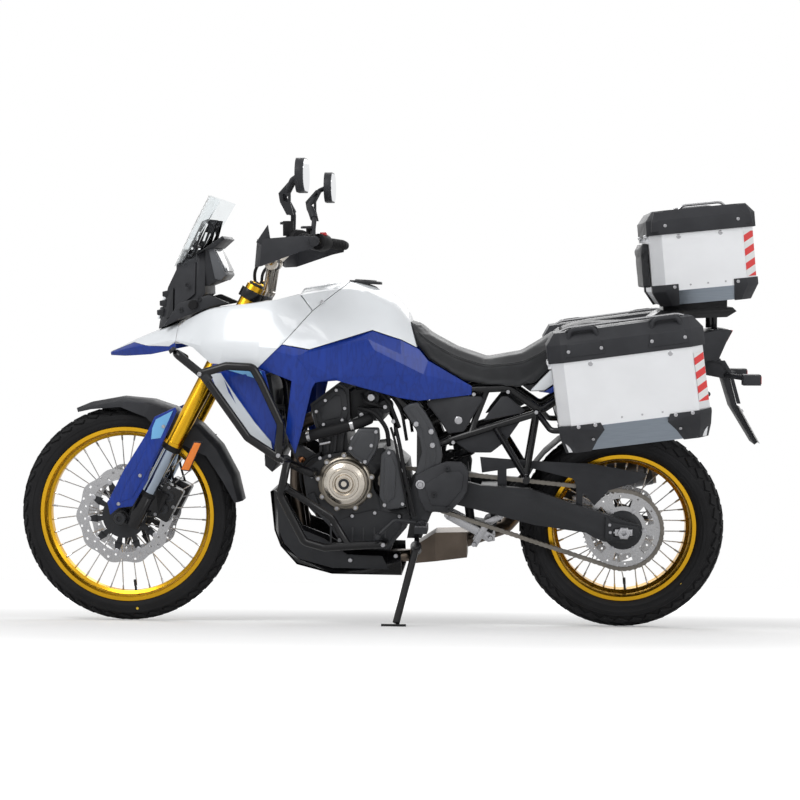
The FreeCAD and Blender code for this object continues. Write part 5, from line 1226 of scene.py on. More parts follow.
def side_case(sign, title):
    node, lid = f"side_case_{title}", f"side_lid_{title}"

    def at(x, out, z):
        return side_at(x, sign * (232 + out), z)

    dressed(node, CASE_METAL, bevel=0, open_towards=1)
    dressed(lid, BLACK_PLASTIC, bevel=2.5, open_towards=-1)
    case_side("case", title, at, sign, node, lid, 434, SIDE_SLOPE, SIDE_GUARDS,
              (("bolts", [(54, 256, 75), (102, 256, 75)], 5.5, (0, sign, 0)),
               ("low_bolt", [(92, 240, 34)], 4.5, (0, sign * 0.84, -0.54))),
              ((180, 238, 296), 252, 88), ((110, 338), 252, 251),
              ((432.6, 220.8), (402.8, 250.6), 104, 244))
    # The lid's two grab loops on their steps, its screws and its rail
    loops = []
    for start in (62, 300):
        def along(*places):
            return [at(start + x, out, z) for x, out, z in places]
        loops.append(tube(along((-8, 240, 318), (2, 243, 352), (70, 243, 352), (80, 240, 318)), 6.5, 14,
            10))
        for foot, bend, top in ((-8, -6, 2), (78, 76, 70)):
            loops.append(tube(along((foot, 206, 340), (bend, 226, 349), (top, 243, 352)), 6, 10, 8))
        loops.append(stepped(at, ((start - 22, start + 94, 259.5, 240, 276),
                                  (start - 12, start + 84, 259.5, 236, 312),
                                  (start - 4, start + 76, 246, 230, 326))))
    fitted(f"lid_loops_{title}", joined(*loops), BLACK_PLASTIC, lid, bevel=1.2, smooth=30)
    screws(f"lid_screws_{title}", [at(x, 259.5, 292) for x in (52, 146, 290, 384)], 5, BODY_OF[lid],
           (0, sign, 0), height=2.5)
    rail = [at(40, 120, 349), at(60, 120, 356), at(380, 120, 356), at(400, 120, 349)]
    fitted(f"lid_rail_{title}", tube(rail, 3.6, 10, 8), STEEL, lid)
    latch = joined(loft([[at(-9, 90, 240), at(-9, 150, 240), at(-2, 150, 240), at(-2, 90, 240)],
                         [at(-13, 94, 262), at(-13, 146, 262), at(-8, 146, 262), at(-8, 94, 262)]]))
    piece(f"case_latch_{title}", latch, "chassis", SATIN_BLACK, SLOTS[lid], bevel=1.0)


side_case(-1, "left")
side_case(1, "right")


def top_case():
    dressed("top_case", CASE_METAL, bevel=0, open_towards=1)
    dressed("top_lid", BLACK_PLASTIC, bevel=2.5, open_towards=-1)
    for sign, title in ((-1, "left"), (1, "right")):
        def at(x, out, z):
            return top_at(x, sign * out, z)

        case_side("top", title, at, sign, "top_case", "top_lid", 308, TOP_SLOPE, TOP_GUARDS,
                  (("bolt", [(60, 216, 53)], 5, (0, sign, 0)),), ((108, 160, 212), 212, 57),
                  ((84, 208), 212, 203), ((306.6, 179.8), (275.8, 210.6), 66, 200))
        blocks = [stepped(at, ((low, high, 219.8, 200, 222), (low + 3, high - 3, 219.8, 200, 252),
                               (low + 14, high - 14, 202, 190, 281))) for low,
                                   high in ((4, 62), (246, 304))]
        fitted(f"top_lid_corners_{title}", joined(*blocks), BLACK_PLASTIC, "top_lid", bevel=1.4)
        screws(f"top_lid_screws_{title}", [at(x, 219.8, 238) for x in (46, 262)], 5, BODY_OF["top_lid"],
               (0, sign, 0), height=2.5)
        rail = [at(96, 150, 283), at(108, 150, 295), at(222, 150, 295), at(234, 150, 283)]
        fitted(f"top_lid_rail_{title}", tube(rail, 4.2, 12, 10), STEEL, "top_lid")

    def catch(sections):
        return loft([[top_at(x0, -half, z), top_at(x0, half, z), top_at(x1, half, z), top_at(x1, -half, z)]
                     for x0, x1, half, z in sections])
    fitted("top_latch_plate", catch(((309, 315, 34, 150), (309, 322, 38, 208))), STEEL, "top_case",
        bevel=1.6)
    fitted("top_lid_keeper", catch(((317, 323, 30, 216), (309, 313, 26, 250))), STEEL, "top_lid",
        bevel=1.2)


top_case()


# Fork, calipers and guards

STEERED = BODY_OF["fork_tubes"]


def fork_details():
    sleeves, seals, caps = [], [], []
    for side in (-105, 105):
        foot = fork_point(0, side, 0)
        sleeves.append(turned([(112, 18), (112, 22.1), (268, 22.1), (268, 18)], foot, FORK_UP, 40))
        seals.append(turned([(262, 20), (262, 26), (266, 30.4), (280, 30.4), (283, 28), (283, 20)], foot,
            FORK_UP, 40))
        seals.append(turned([(100, 20), (100, 29), (108, 29), (113, 25), (113, 20)], foot, FORK_UP, 40))
        caps.append(turned([(846, 0), (846, 22), (853, 22), (855, 18), (855, 10), (860, 9), (861, 0)],
            foot, FORK_UP, 32, closed=False))
    fitted("fork_sliders", joined(*sleeves), SLIDER, "fork_lowers", smooth=40)
    fitted("fork_seals", joined(*seals), RUBBER, "fork_lowers", smooth=34)
    fitted("fork_caps", joined(*caps), SATIN_BLACK, "fork_tubes", smooth=34)
    pads, spots = [], []
    for side, out in ((-1, (0, -1, 0)), (1, (0, 1, 0))):
        for along in (84, 128):
            centre = fork_point(along, side * 73.5, 63)
            centre.y = side * 96.5
            pads.append(knob(centre, out, ((4, 18), (7, 15), (7, 9), (4, 8)), 28))
        for along, back in ((58, 50), (154, 50), (106, 90)):
            place = fork_point(along, 0, back)
            spots.append((place.x, -96.5, place.z))
    fitted("caliper_covers", joined(*pads), SATIN_BLACK, "front_calipers", smooth=30)
    screws("caliper_bolts", spots, 6, STEERED, both=True)
    head = turned([(0, 0), (0, 17), (6, 19), (11, 17), (11, 9), (6, 8), (6, 0)],
        (FRONT_AXLE.x, -130.5, FRONT_AXLE.z), (0, -1, 0), 28, closed=False)
    fitted("front_axle_head", head, SATIN_BLACK, "front_axle", smooth=30)
    lines = []
    for side in (-1, 1):
        lines.append(tube([fork_point(160, side * 80, 66), fork_point(186, side * 76, 40),
            fork_point(230, side * 71, 6), fork_point(600, side * 70, 4), fork_point(640, side * 58, 30)],
            3.6, 26, 10))
    fitted("brake_lines", joined(*lines), RUBBER, "fork_lowers", smooth=60)
    clips = [rod(fork_point(t, side * 70, 4) - FORK_UP * 6, fork_point(t, side * 70, 4) + FORK_UP * 6,
        6) for t in (310, 470) for side in (-1, 1)]
    fitted("brake_line_clips", joined(*clips), SATIN_BLACK, "fork_lowers")
    amber = prism([(-546, 589), (-525, 587), (-564, 502), (-588, 505)], -138, -128)
    back = prism([(-549, 593), (-521, 591), (-563, 498), (-592, 501)], -130, -126)
    fitted("fork_reflectors", mirrored_pair(amber), AMBER, "fork_lowers", bevel=1)
    fitted("fork_reflector_backs", mirrored_pair(back), SATIN_BLACK, "fork_lowers", bevel=1)
    rib = [(-668, 640), (-640, 664), (-612, 676), (-640, 600), (-700, 486), (-742, 416), (-780, 402),
        (-770, 440), (-724, 516), (-690, 590)]
    plate_pair("fork_guard_rib", rib, 143, 146.5, BLUE, "fork_guards", 2.4)
    band = [(-664, 662), (-610, 690), (-630, 646), (-650, 604), (-680, 600), (-676, 634)]
    plate_pair("fork_guard_band", band, 143, 147.4, LIGHT_BLUE, "fork_guards", 0.8)
    screws("fork_guard_bolts", [(-786, -143, 396), (-640, -146.5, 640), (-716, -146.5, 486)], 6, STEERED,
        both=True)
    clamps = []
    for side in (-1, 1):
        for along in (632, 800):
            spot = fork_point(along, side * 60, -36)
            clamps.append((spot.x, spot.y, spot.z))
    screws("clamp_bolts", clamps, 7, STEERED, axis=-FORK_BACK)


def lamp_details():
    body = BODY_OF["headlamp_cowl"]
    steps = []
    for z, x in ((985, -668), (1014, -659), (1043, -650)):
        steps.append(prism([(x - 8, z), (x - 8, z + 15), (x + 14, z + 20), (x + 14, z - 6)], -58, 58))
    fitted("lamp_steps", joined(*steps), SATIN_BLACK, "headlamp_cowl", bevel=2)
    for title, low, high in (("low", 972, 1010), ("high", 1020, 1060)):
        def front(z):
            return -672 + (z - 962) * 32 / 110 - 9.5
        corners = [[(front(low), -38, low), (front(low), 38, low), (front(low) + 6, 38, low),
            (front(low) + 6, -38, low)], [(front(high), -44, high), (front(high), 44, high),
            (front(high) + 6, 44, high), (front(high) + 6, -44, high)]]
        fitted("lamp_lens_" + title, loft(corners), LENS, "headlamp_cowl", bevel=1.2)
    overlay("lamp_side", [(-612, 1000, 91), (-612, 1100, 74), (-546, 1150, 78), (-546, 1052, 101)],
        BLACK_PLASTIC, "black_plastic", 4, body, 10)
    overlay("lamp_side_step", [(-640, 972, 82), (-640, 1040, 66), (-618, 1070, 78), (-618, 990, 90)],
        SATIN_BLACK, "black_plastic", 3, body, 9)
    low = [(-647, 948), (-596, 1024), (-499, 1049), (-436, 1022), (-500, 1010), (-590, 975)]
    plate_pair("lamp_skirt", low, 92, 112, BLACK_PLASTIC, "headlamp_cowl", 4)
    screws("lamp_screws", [(-570, -104, 1080), (-530, -113, 1036), (-588, -113, 1002)], 7, body,
        material=SATIN_BLACK, both=True)
    knobs = [knob((-548, side * 112, 1018), (0, side, 0), ((14, 15), (18, 12))) for side in (-1, 1)]
    fitted("lamp_knobs", joined(*knobs), RUBBER, "headlamp_cowl", smooth=32)
    case = [(-506, 1190), (-489, 1194), (-450, 1110), (-466, 1092), (-486, 1098)]
    fitted("display_case", prism(case, -84, 84), HOUSING, "dash", bevel=3)
    normal = Vector((0.91, 0, 0.41))
    low_edge, high_edge = Vector((-455, 0, 1120)), Vector((-488, 0, 1186))
    rows = []
    for lift in (0.0, 5.0):
        rows.append([low_edge + normal * lift + Vector((0, -72, 0)), low_edge + normal * lift + Vector((0,
            72, 0)), high_edge + normal * lift + Vector((0, 72, 0)), high_edge + normal * lift + Vector((0,
            -72, 0))])
    fitted("display_glass", loft(rows), DISPLAY, "dash", bevel=1)
    hood = [(-541, 1176), (-462, 1229), (-455, 1222), (-486, 1196), (-514, 1190)]
    plate_pair("display_hood", hood, 90, 98, SATIN_BLACK, "dash", 2)
    screen_body, screen_slot = BODY_OF["windscreen"], SLOTS["headlamp_cowl"]
    bar = [(-528, 1278), (-585, 1166), (-560, 1166), (-536, 1220), (-508, 1285)]
    prop = [(-512, 1283), (-484, 1280), (-506, 1222), (-524, 1200), (-545, 1166), (-520, 1166),
        (-498, 1215)]
    obj = raw_object("screen_frame", mirrored_pair(joined(prism(bar, -66, -56))))
    cut(obj, joined(*[prism([(x - 5, z - 14), (x + 3, z - 14), (x + 13, z + 14), (x + 5, z + 14)], -100,
        100) for x, z in ((-566, 1190), (-546, 1232))]), "DIFFERENCE")
    soften(obj, 1.4)
    settle(obj, screen_body, SATIN_BLACK, screen_slot)
    fitted("screen_props", mirrored_pair(prism(prop, -52, -42)), SATIN_BLACK, "headlamp_cowl", bevel=1.6)
    ties = [rod((x, -64, z), (x, 64, z), 5) for x, z in ((-520, 1276), (-556, 1200), (-572, 1170),
        (-500, 1262))]
    fitted("screen_ties", joined(*ties), SATIN_BLACK, "headlamp_cowl")
    screws("screen_screws", [(-581, -66, 1174), (-519, -66, 1272)], 5, screen_body, both=True)


def control_details():
    kill = loft([[(-200, 288, 1240), (-176, 288, 1240), (-172, 308, 1239), (-196, 308, 1239)],
        [(-198, 289, 1251), (-179, 289, 1251), (-175, 307, 1250), (-194, 307, 1250)]])
    piece("kill_switch", kill, STEERED, RED, SLOTS["tail_lamp"], bevel=1.5)
    levers = []
    for side in (-1, 1):
        levers.append(tube([(-212, side * 258, 1216), (-246, side * 290, 1206), (-232, side * 360, 1197),
            (-196, side * 420, 1190)], 5, 18, 10))
    fitted("hand_levers", joined(*levers), SATIN_BLACK, "hand_controls", smooth=50)
    ends, grips = [], []
    along = Vector((0.413, 0.909, -0.060))
    for side in (-1, 1):
        tilt = Vector((along.x, along.y * side, along.z))
        end = Vector((-133, side * 431, 1209))
        ends.append(rod(end, end + tilt * 9, 15, 12))
        for index in range(9):
            spot = end - tilt * (14 + index * 10)
            grips.append(rod(spot, spot - tilt * 5, 18.2, steps=24))
    fitted("bar_ends", joined(*ends), SATIN_BLACK, "hand_controls", bevel=1)
    fitted("grip_rings", joined(*grips), RUBBER, "hand_controls")
    lids = [knob((-238, side * 246, 1262), (0, 0, 1), ((6, 19), (8, 15))) for side in (-1, 1)]
    fitted("reservoir_lids", joined(*lids), SATIN_BLACK, "hand_controls")
    glass = []
    for side in (-1, 1):
        rows = []
        for x, radius in ((-163, 46), (-160.6, 46)):
            row = []
            for step in range(48):
                angle = 2 * math.pi * (step + 0.5) / 48
                shift_y = 30 if math.cos(angle) > 0 else -30
                row.append((x, side * 370 + shift_y + radius * math.cos(angle),
                    1401 + radius * math.sin(angle)))
            rows.append(row)
        glass.append(loft(rows))
    fitted("mirror_glass", joined(*glass), MIRROR, "mirrors", smooth=30)
    for side, title in ((-1, "left"), (1, "right")):
        def slab(outline, half):
            return prism(outline, side * 322 - half, side * 322 + half)
        obj = raw_object("mirror_stem_" + title, slab([(-226, 1288), (-206, 1288), (-214, 1322),
            (-214, 1352), (-196, 1386), (-214, 1392), (-250, 1352), (-246, 1326)], 5))
        for hole in ([(-238, 1330), (-222, 1326), (-222, 1344), (-236, 1350)],
                [(-232, 1356), (-222, 1352), (-208, 1378), (-212, 1382)]):
            cut(obj, slab(hole, 20), "DIFFERENCE")
        soften(obj, 1.4)
        settle(obj, BODY_OF["mirrors"], SATIN_BLACK, SLOTS["mirrors"])
    cables = [tube([(-216, -262, 1206), (-300, -200, 1180), (-360, -120, 1120), (-350, -70, 1040)], 5, 40,
        10), tube([(-216, 262, 1206), (-300, 200, 1180), (-370, 110, 1120), (-356, 66, 1040)], 5, 40, 10)]
    fitted("bar_cables", joined(*cables), RUBBER, "hand_controls", smooth=60)
    risers = [rod((-314, side * 30, 1128), (-314, side * 30, 1164), 16, steps=20) for side in (-1, 1)]
    fitted("bar_clamps", joined(*risers), FRAME_GREY, "triple_clamps", bevel=1)


fork_details()
lamp_details()
control_details()


# Engine and its covers

GENERATOR = Vector((-71, 0, 471))
COVER_SEAT = GENERATOR + Vector((0, -150.2, 0))


def covers():
    base = turned([(0, 20), (0, 84), (14, 84), (20, 79), (22, 74), (36, 72), (40, 68), (40, 20)],
        COVER_SEAT, (0, -1, 0), 72)
    ears = []
    spots = []
    for index in range(9):
        angle = math.radians(12 + 40 * index)
        out = outward(angle)
        seat = GENERATOR + out * 84
        ears.append(rod(seat + Vector((0, -150.2, 0)), seat + Vector((0, -168, 0)), 9, steps=14))
        spots.append(seat + Vector((0, -168, 0)))
    fitted("generator_cover", joined(base, *ears), WARM_GREY, "engine_covers", ("engine_covers",), 30, 0.8)
    ring = turned([(38, 36), (38, 66), (45, 63), (50, 52), (50, 46), (53, 44), (54, 36)], COVER_SEAT,
        (0, -1, 0), 72)
    fitted("generator_ring", ring, RING_GREY, "engine_covers", smooth=24)
    hub = turned([(36, 0), (36, 36), (50, 36), (52, 30), (47, 26), (47, 20), (56, 18), (57, 0)],
        COVER_SEAT, (0, -1, 0), 48, closed=False)
    fitted("generator_hub", hub, RING_GREY, "engine_covers", smooth=24)
    plug = turned([(52, 17), (58, 17), (59, 14), (59, 9), (54, 9), (54, 0)], COVER_SEAT, (0, -1, 0), 24,
        closed=False)
    fitted("generator_plug", plug, SATIN_BLACK, "engine_covers", smooth=24)
    screws("generator_screws", spots, 6.5, height=5)
    starter = [(-62, 575), (-50, 605), (-25, 642), (35, 642), (38, 610), (29, 575), (12, 545), (-1, 526),
        (-38, 550)]
    plate_pair("starter_cover", starter, 150.2, 203, FRAME_GREY, "engine_covers", 6, both=False)
    inner = [(-46, 578), (-18, 630), (26, 630), (20, 578), (-4, 545), (-34, 560)]
    plate_pair("starter_cover_face", inner, 203, 206.5, FRAME_GREY, "engine_covers", 2.4, both=False)
    screws("starter_screws", [(-50, -203, 582), (28, -203, 632), (-6, -203, 540), (14, -206.5, 590)], 6)
    drive = [(40, 560), (62, 578), (80, 573), (97, 545), (112, 520), (118, 430), (118, 397), (60, 388),
        (36, 430)]
    plate_pair("sprocket_cover", drive, 150.2, 182, FRAME_GREY, "engine_covers", 5, both=False)
    rib = [(54, 548), (74, 556), (88, 520), (84, 430), (60, 412), (50, 440)]
    plate_pair("sprocket_cover_face", rib, 182, 187, FRAME_GREY, "engine_covers", 2, both=False)
    screws("sprocket_cover_screws", [(66, -182, 566), (106, -182, 512), (108, -182, 408), (52, -182, 404)],
        6)
    clutch = turned([(0, 10), (0, 100), (22, 100), (28, 95), (30, 84), (38, 82), (41, 76), (41, 40),
        (38, 38), (38, 10)], (-20, 150.2, 440), (0, 1, 0), 72)
    pump = turned([(0, 8), (0, 46), (22, 46), (26, 42), (26, 8)], (-90, 150.2, 380), (0, 1, 0), 40)
    fitted("right_covers", joined(clutch, pump), DARK_ENGINE, "engine_covers", smooth=30)
    spots = [(-20 + 92 * math.cos(a * math.pi / 5), 172,
        440 + 92 * math.sin(a * math.pi / 5)) for a in range(10)]
    screws("clutch_screws", spots, 6, axis=(0, 1, 0))


def head_and_barrel():
    outline = [(-172, 706), (-150, 724), (-96, 768), (-76, 760), (-66, 742), (-62, 688), (-70, 656),
        (-148, 638)]
    plate_pair("head_cover", outline, 150, 158, DARK_ENGINE, "engine", 4)
    inner = [(-150, 700), (-100, 742), (-84, 738), (-80, 690), (-88, 672), (-140, 660)]
    plate_pair("head_cover_step", inner, 158, 163, DARK_ENGINE, "engine", 3)
    screws("head_screws", [(-160, -158, 690), (-132, -158, 724), (-98, -158, 756), (-72, -158, 700),
        (-80, -158, 664), (-138, -158, 650)], 5.5, both=True)
    ribs = []
    for x in (-150, -128, -106, -84):
        ribs.append(prism([(x - 5, 560), (x + 4, 562), (x + 10, 632), (x, 630)], -140, -128))
    fitted("barrel_ribs", mirrored_pair(joined(*ribs)), DARK_ENGINE, "engine", bevel=1.5)
    fins = []
    for index in range(6):
        x = -120 + index * 34
        fins.append(prism([(x, 262), (x + 6, 262), (x + 6, 330), (x, 330)], -157, -150))
    fitted("case_ribs", mirrored_pair(joined(*fins)), DARK_ENGINE, "engine", bevel=1.5)
    lower = [(-100, 345), (-96, 280), (54, 272), (100, 330), (104, 372), (20, 385), (-40, 372)]
    plate_pair("case_lower_cover", lower, 150, 155, SATIN_BLACK, "engine", 3)
    screws("case_screws", [(-176, -150, 488), (-166, -150, 420), (-112, -150, 340), (-90, -155, 290),
        (44, -155, 284), (96, -155, 366), (20, -155, 376), (-50, -155, 366), (-150, -150, 545),
        (-120, -150, 552)], 6, both=True)
    plate_pair("oil_filter_boss", [(-190, 430), (-168, 440), (-150, 395), (-165, 370), (-186, 392)], 150,
        162, SATIN_BLACK, "engine", 4)


def pipes():
    hose = [(-222, -150, 604), (-200, -178, 612), (-110, -186, 634), (-26, -180, 656), (4, -150, 668)]
    fitted("coolant_hose", tube(hose, 17, 30, 18), RUBBER, "engine", smooth=60)
    bands = [rod((-186, -179.5, 615.2), (-176, -180.5, 617.6), 18.4), rod((-54, -182.5, 647.8),
        (-44, -181.5, 650.4), 18.4)]
    fitted("hose_clips", joined(*bands), STEEL, "engine")
    runs = (([(-40, -120, 760), (20, -150, 768), (66, -158, 720), (96, -150, 640)], 6),
        ([(10, -100, 790), (60, -140, 760), (104, -148, 690), (118, -140, 600)], 5),
        ([(-30, -150, 700), (20, -168, 690), (60, -172, 640), (64, -160, 585)], 7),
        ([(86, -160, 640), (100, -188, 590), (120, -196, 480), (146, -200, 372)], 6),
        ([(70, -150, 640), (86, -186, 600), (104, -190, 500), (128, -190, 380)], 4),
        ([(-20, -150, 745), (-10, -170, 720), (30, -172, 712), (46, -140, 700)], 5),
        ([(-215, -118, 700), (-226, -130, 660), (-222, -136, 620), (-210, -132, 580)], 8),
        ([(-150, -150, 560), (-190, -160, 540), (-214, -150, 500), (-210, -130, 450)], 5),)
    tubes = [tube(points, radius, 24, 10) for points, radius in runs]
    fitted("engine_cables", joined(*tubes), RUBBER, "engine", smooth=60)
    right = [tube([(p[0], -p[1], p[2]) for p in map(Vector, points)], radius, 24, 10) for points,
        radius in runs[:3]]
    fitted("engine_cables_right", joined(*right), RUBBER, "engine", smooth=60)
    bodies = [rod((10, -150, 734), (10, -60, 734), 24), rod((10, -158, 734), (10, -150, 734), 14),
        rod((52, -146, 704), (52, -60, 704), 20), block(-34, 44, -140, 140, 660, 700)]
    fitted("throttle_bodies", joined(*bodies), SATIN_BLACK, "engine", bevel=1.5)
    fitted("throttle_cap", knob((10, -158, 734), (0, -1, 0), ((4, 13), (7, 10), (7, 5), (5, 5))), ZINC,
        "engine")
    screws("throttle_screws", [(-22, -140, 680), (30, -140, 668), (52, -146, 704), (78, -150, 660)], 7)
    fitted("injector_union", joined(rod((-44, -150, 606), (-44, -176, 606), 9),
        rod((-118, -158, 596), (-150, -166, 590), 6)), ZINC, "engine", bevel=0.6)
    fitted("copper_union", rod((-222, -120, 545), (-206, -150, 538), 9), COPPER, "engine", bevel=0.6)


covers()
head_and_barrel()
pipes()


# Frame plates, side covers, linkage and exhaust

def frame_details():
    spar = [(107, 703), (128, 716), (154, 722), (178, 692), (200, 655), (222, 600), (230, 560), (218, 492),
        (172, 486), (146, 501), (158, 540), (166, 568), (160, 606), (146, 645)]
    plate_pair("frame_spar", spar, 166, 186, FRAME_GREY, "main_frame", 6)
    face = [(128, 700), (150, 706), (186, 650), (206, 596), (212, 560), (200, 506), (176, 504), (182, 566),
        (168, 640)]
    plate_pair("frame_spar_face", face, 186, 189, FRAME_GREY, "main_frame", 2)
    heel = [(146, 496), (192, 522), (239, 540), (288, 540), (300, 530), (312, 508), (306, 450), (290, 424),
        (250, 382), (178, 388), (158, 430)]
    plate_pair("heel_guard", heel, 178.4, 196, GREY_PLASTIC, "footpegs", 5)
    step = [(176, 470), (240, 510), (284, 512), (296, 500), (290, 456), (246, 404), (196, 408)]
    plate_pair("heel_guard_face", step, 196, 200, GREY_PLASTIC, "footpegs", 3)
    screws("heel_screws", [(246, -200, 520), (250, -200, 396), (205, -200, 440)], 8, material=SATIN_BLACK,
        both=True)
    screws("frame_bolts", [(163, -196, 470), (196, -186, 632), (150, -186, 655), (200, -186, 590)], 9,
        both=True)
    screws("pivot_washer", [(163, -196, 470)], 14, height=3, both=True)
    cover = [(178, 716), (210, 742), (345, 738), (356, 730), (294, 628), (246, 622), (222, 660)]
    plate_pair("side_cover", cover, 132, 150, GREY_PLASTIC, "side_panels", 6)
    rear = [(354, 662), (372, 690), (410, 738), (430, 738), (484, 694), (470, 686)]
    plate_pair("side_cover_rear", rear, 136, 146, GREY_PLASTIC, "side_panels", 4)
    under = [(256, 602), (313, 563), (378, 563), (425, 600), (470, 664), (330, 622)]
    plate_pair("side_cover_low", under, 126, 138, BLACK_PLASTIC, "side_panels", 4)
    screws("side_cover_screw", [(278, -150, 664)], 12, height=4, both=True)
    screws("rail_bolts", [(430, -148, 752), (516, -156, 690), (325, -145, 744), (486, -163, 494),
        (262, -154, 596)], 6.5, both=True)
    arm = [(228, 366), (236, 344), (368, 272), (390, 276), (388, 296), (246, 368)]
    plate_pair("linkage_arm", arm, 46, 54, ZINC, "shock", 2)
    rocker = [(314, 262), (332, 256), (372, 322), (416, 350), (410, 368), (358, 342)]
    plate_pair("linkage_rocker", rocker, 55, 62, ZINC, "shock", 2)
    screws("linkage_bolts", [(238, -54, 356), (376, -62, 286), (324, -62, 266), (406, -62, 358)], 8,
        both=True)
    turns = 7
    spring = []
    axis_from, axis_to = Vector((264, 0, 690)), Vector((289, 0, 528))
    run = axis_to - axis_from
    side = Vector((0, 1, 0))
    other = run.normalized().cross(side)
    for step in range(turns * 14 + 1):
        t = step / (turns * 14)
        angle = 2 * math.pi * turns * t
        spring.append(axis_from + run * t + side * 35 * math.cos(angle) + other * 35 * math.sin(angle))
    fitted("shock_spring", tube(spring, 5, 0.5, 8), BLACK_COAT, "shock", smooth=60)


def exhaust_details():
    front, back = Vector((560, 206, 418)), Vector((900, 206, 486))
    run = back - front
    length = run.length
    shell = turned([(-1, 30), (-1, 50), (8, 57), (length - 34, 57), (length - 34, 24)], front, run, 56)
    fitted("muffler_shell", shell, MUFFLER, "exhaust", smooth=34)
    cap = turned([(length - 34, 24), (length - 34, 57.6), (length - 12, 57.6), (length + 1, 48),
        (length + 1, 30), (length - 6, 26)], front, run, 56)
    fitted("muffler_cap", cap, SATIN_BLACK, "exhaust", smooth=30)
    strap = turned([(120, 56), (120, 60), (142, 60), (142, 56)], front, run, 48)
    fitted("muffler_strap", strap, SATIN_BLACK, "exhaust", smooth=30)
    flanges = [rod((-172, side, 664), (-180, side, 662), 33) for side in (-55, 55)]
    fitted("exhaust_flanges", joined(*flanges), ZINC, "exhaust", bevel=0.8)


def cooling_details():
    spots = []
    for index in range(52):
        z = 536 + index * 5
        x = -322.8 - (z - 520) * 6 / 280
        spots.append((Vector((x, 0, z)), Vector((0, 0, 1)), Vector((1, 0, 0)), 1.0))
    repeated("radiator_slats", block(-2.2, 0.4, -138, 138, -0.7, 0.7), spots, "chassis", SATIN_BLACK,
        SLOTS["radiator"])
    fan = joined(turned([(0, 84), (0, 92), (14, 92), (14, 84)], (-290, 0, 660), (1, 0, 0), 48),
        *[rod((-284, 0, 660), (-284, 84 * math.cos(a), 660 + 84 * math.sin(a)), 5,
        steps=8) for a in (index * math.pi / 3 for index in range(6))])
    fitted("radiator_fan", fan, SATIN_BLACK, "radiator")


def guard_details():
    collars = []
    for start, end in (((-250, -250, 548), (-236, -262, 550)), ((-488, -268, 808), (-474, -268, 790)),
            ((-262, -262, 580), (-260, -264, 596)), ((-252, -238, 470), (-250, -238, 456))):
        collars.append(rod(start, end, 16))
    fitted("crash_bar_collars", mirrored_pair(joined(*collars)), SATIN_BLACK, "crash_bars", bevel=1)
    screws("crash_bar_bolts", [(-252, -268, 545), (-500, -281, 812), (-168, -216, 503), (50, -214, 286),
        (-262, -281, 566)], 7, both=True)
    cap = rod((-582, -268, 880), (-589, -268, 888), 13, 10)
    fitted("crash_bar_caps", mirrored_pair(joined(cap)), SATIN_BLACK, "crash_bars", bevel=1)
    side = [(-290, 424), (-286, 318), (-268, 272), (-222, 224), (-116, 196), (60, 194), (40, 236),
        (-70, 240), (-140, 288), (-214, 318), (-262, 400)]
    plate_pair("skid_plate_side", side, 116, 121, SATIN_BLACK, "skid_plate", 3)
    screws("skid_plate_bolts", [(82, -116, 236), (-60, -121, 222), (-270, -121, 398)], 7, both=True)
    rows = []
    for sign in (-1, 1):
        for index in range(9):
            rows.append((Vector((153 + index * 4, sign * 238, 351)), Vector((0, 0, 1)), Vector((0, 1, 0)),
                1.0))
    tooth = loft([[(-44, -0.9, 0), (44, -0.9, 0), (44, 0.9, 0), (-44, 0.9, 0)],
        [(-44, -0.3, 3.5), (44, -0.3, 3.5), (44, 0.3, 3.5), (-44, 0.3, 3.5)]])
    repeated("peg_treads", tooth, rows, "chassis", ZINC, SLOTS["footpegs"])
    spring = [(150, -176, 270), (146, -204, 262), (128, -224, 200), (118, -240, 160)]
    piece("stand_spring", tube(spring, 5, 12, 8), "side_stand", SATIN_BLACK, SLOTS["side_stand"],
        smooth=60)


frame_details()
exhaust_details()
cooling_details()
guard_details()


# Swingarm ends and tail

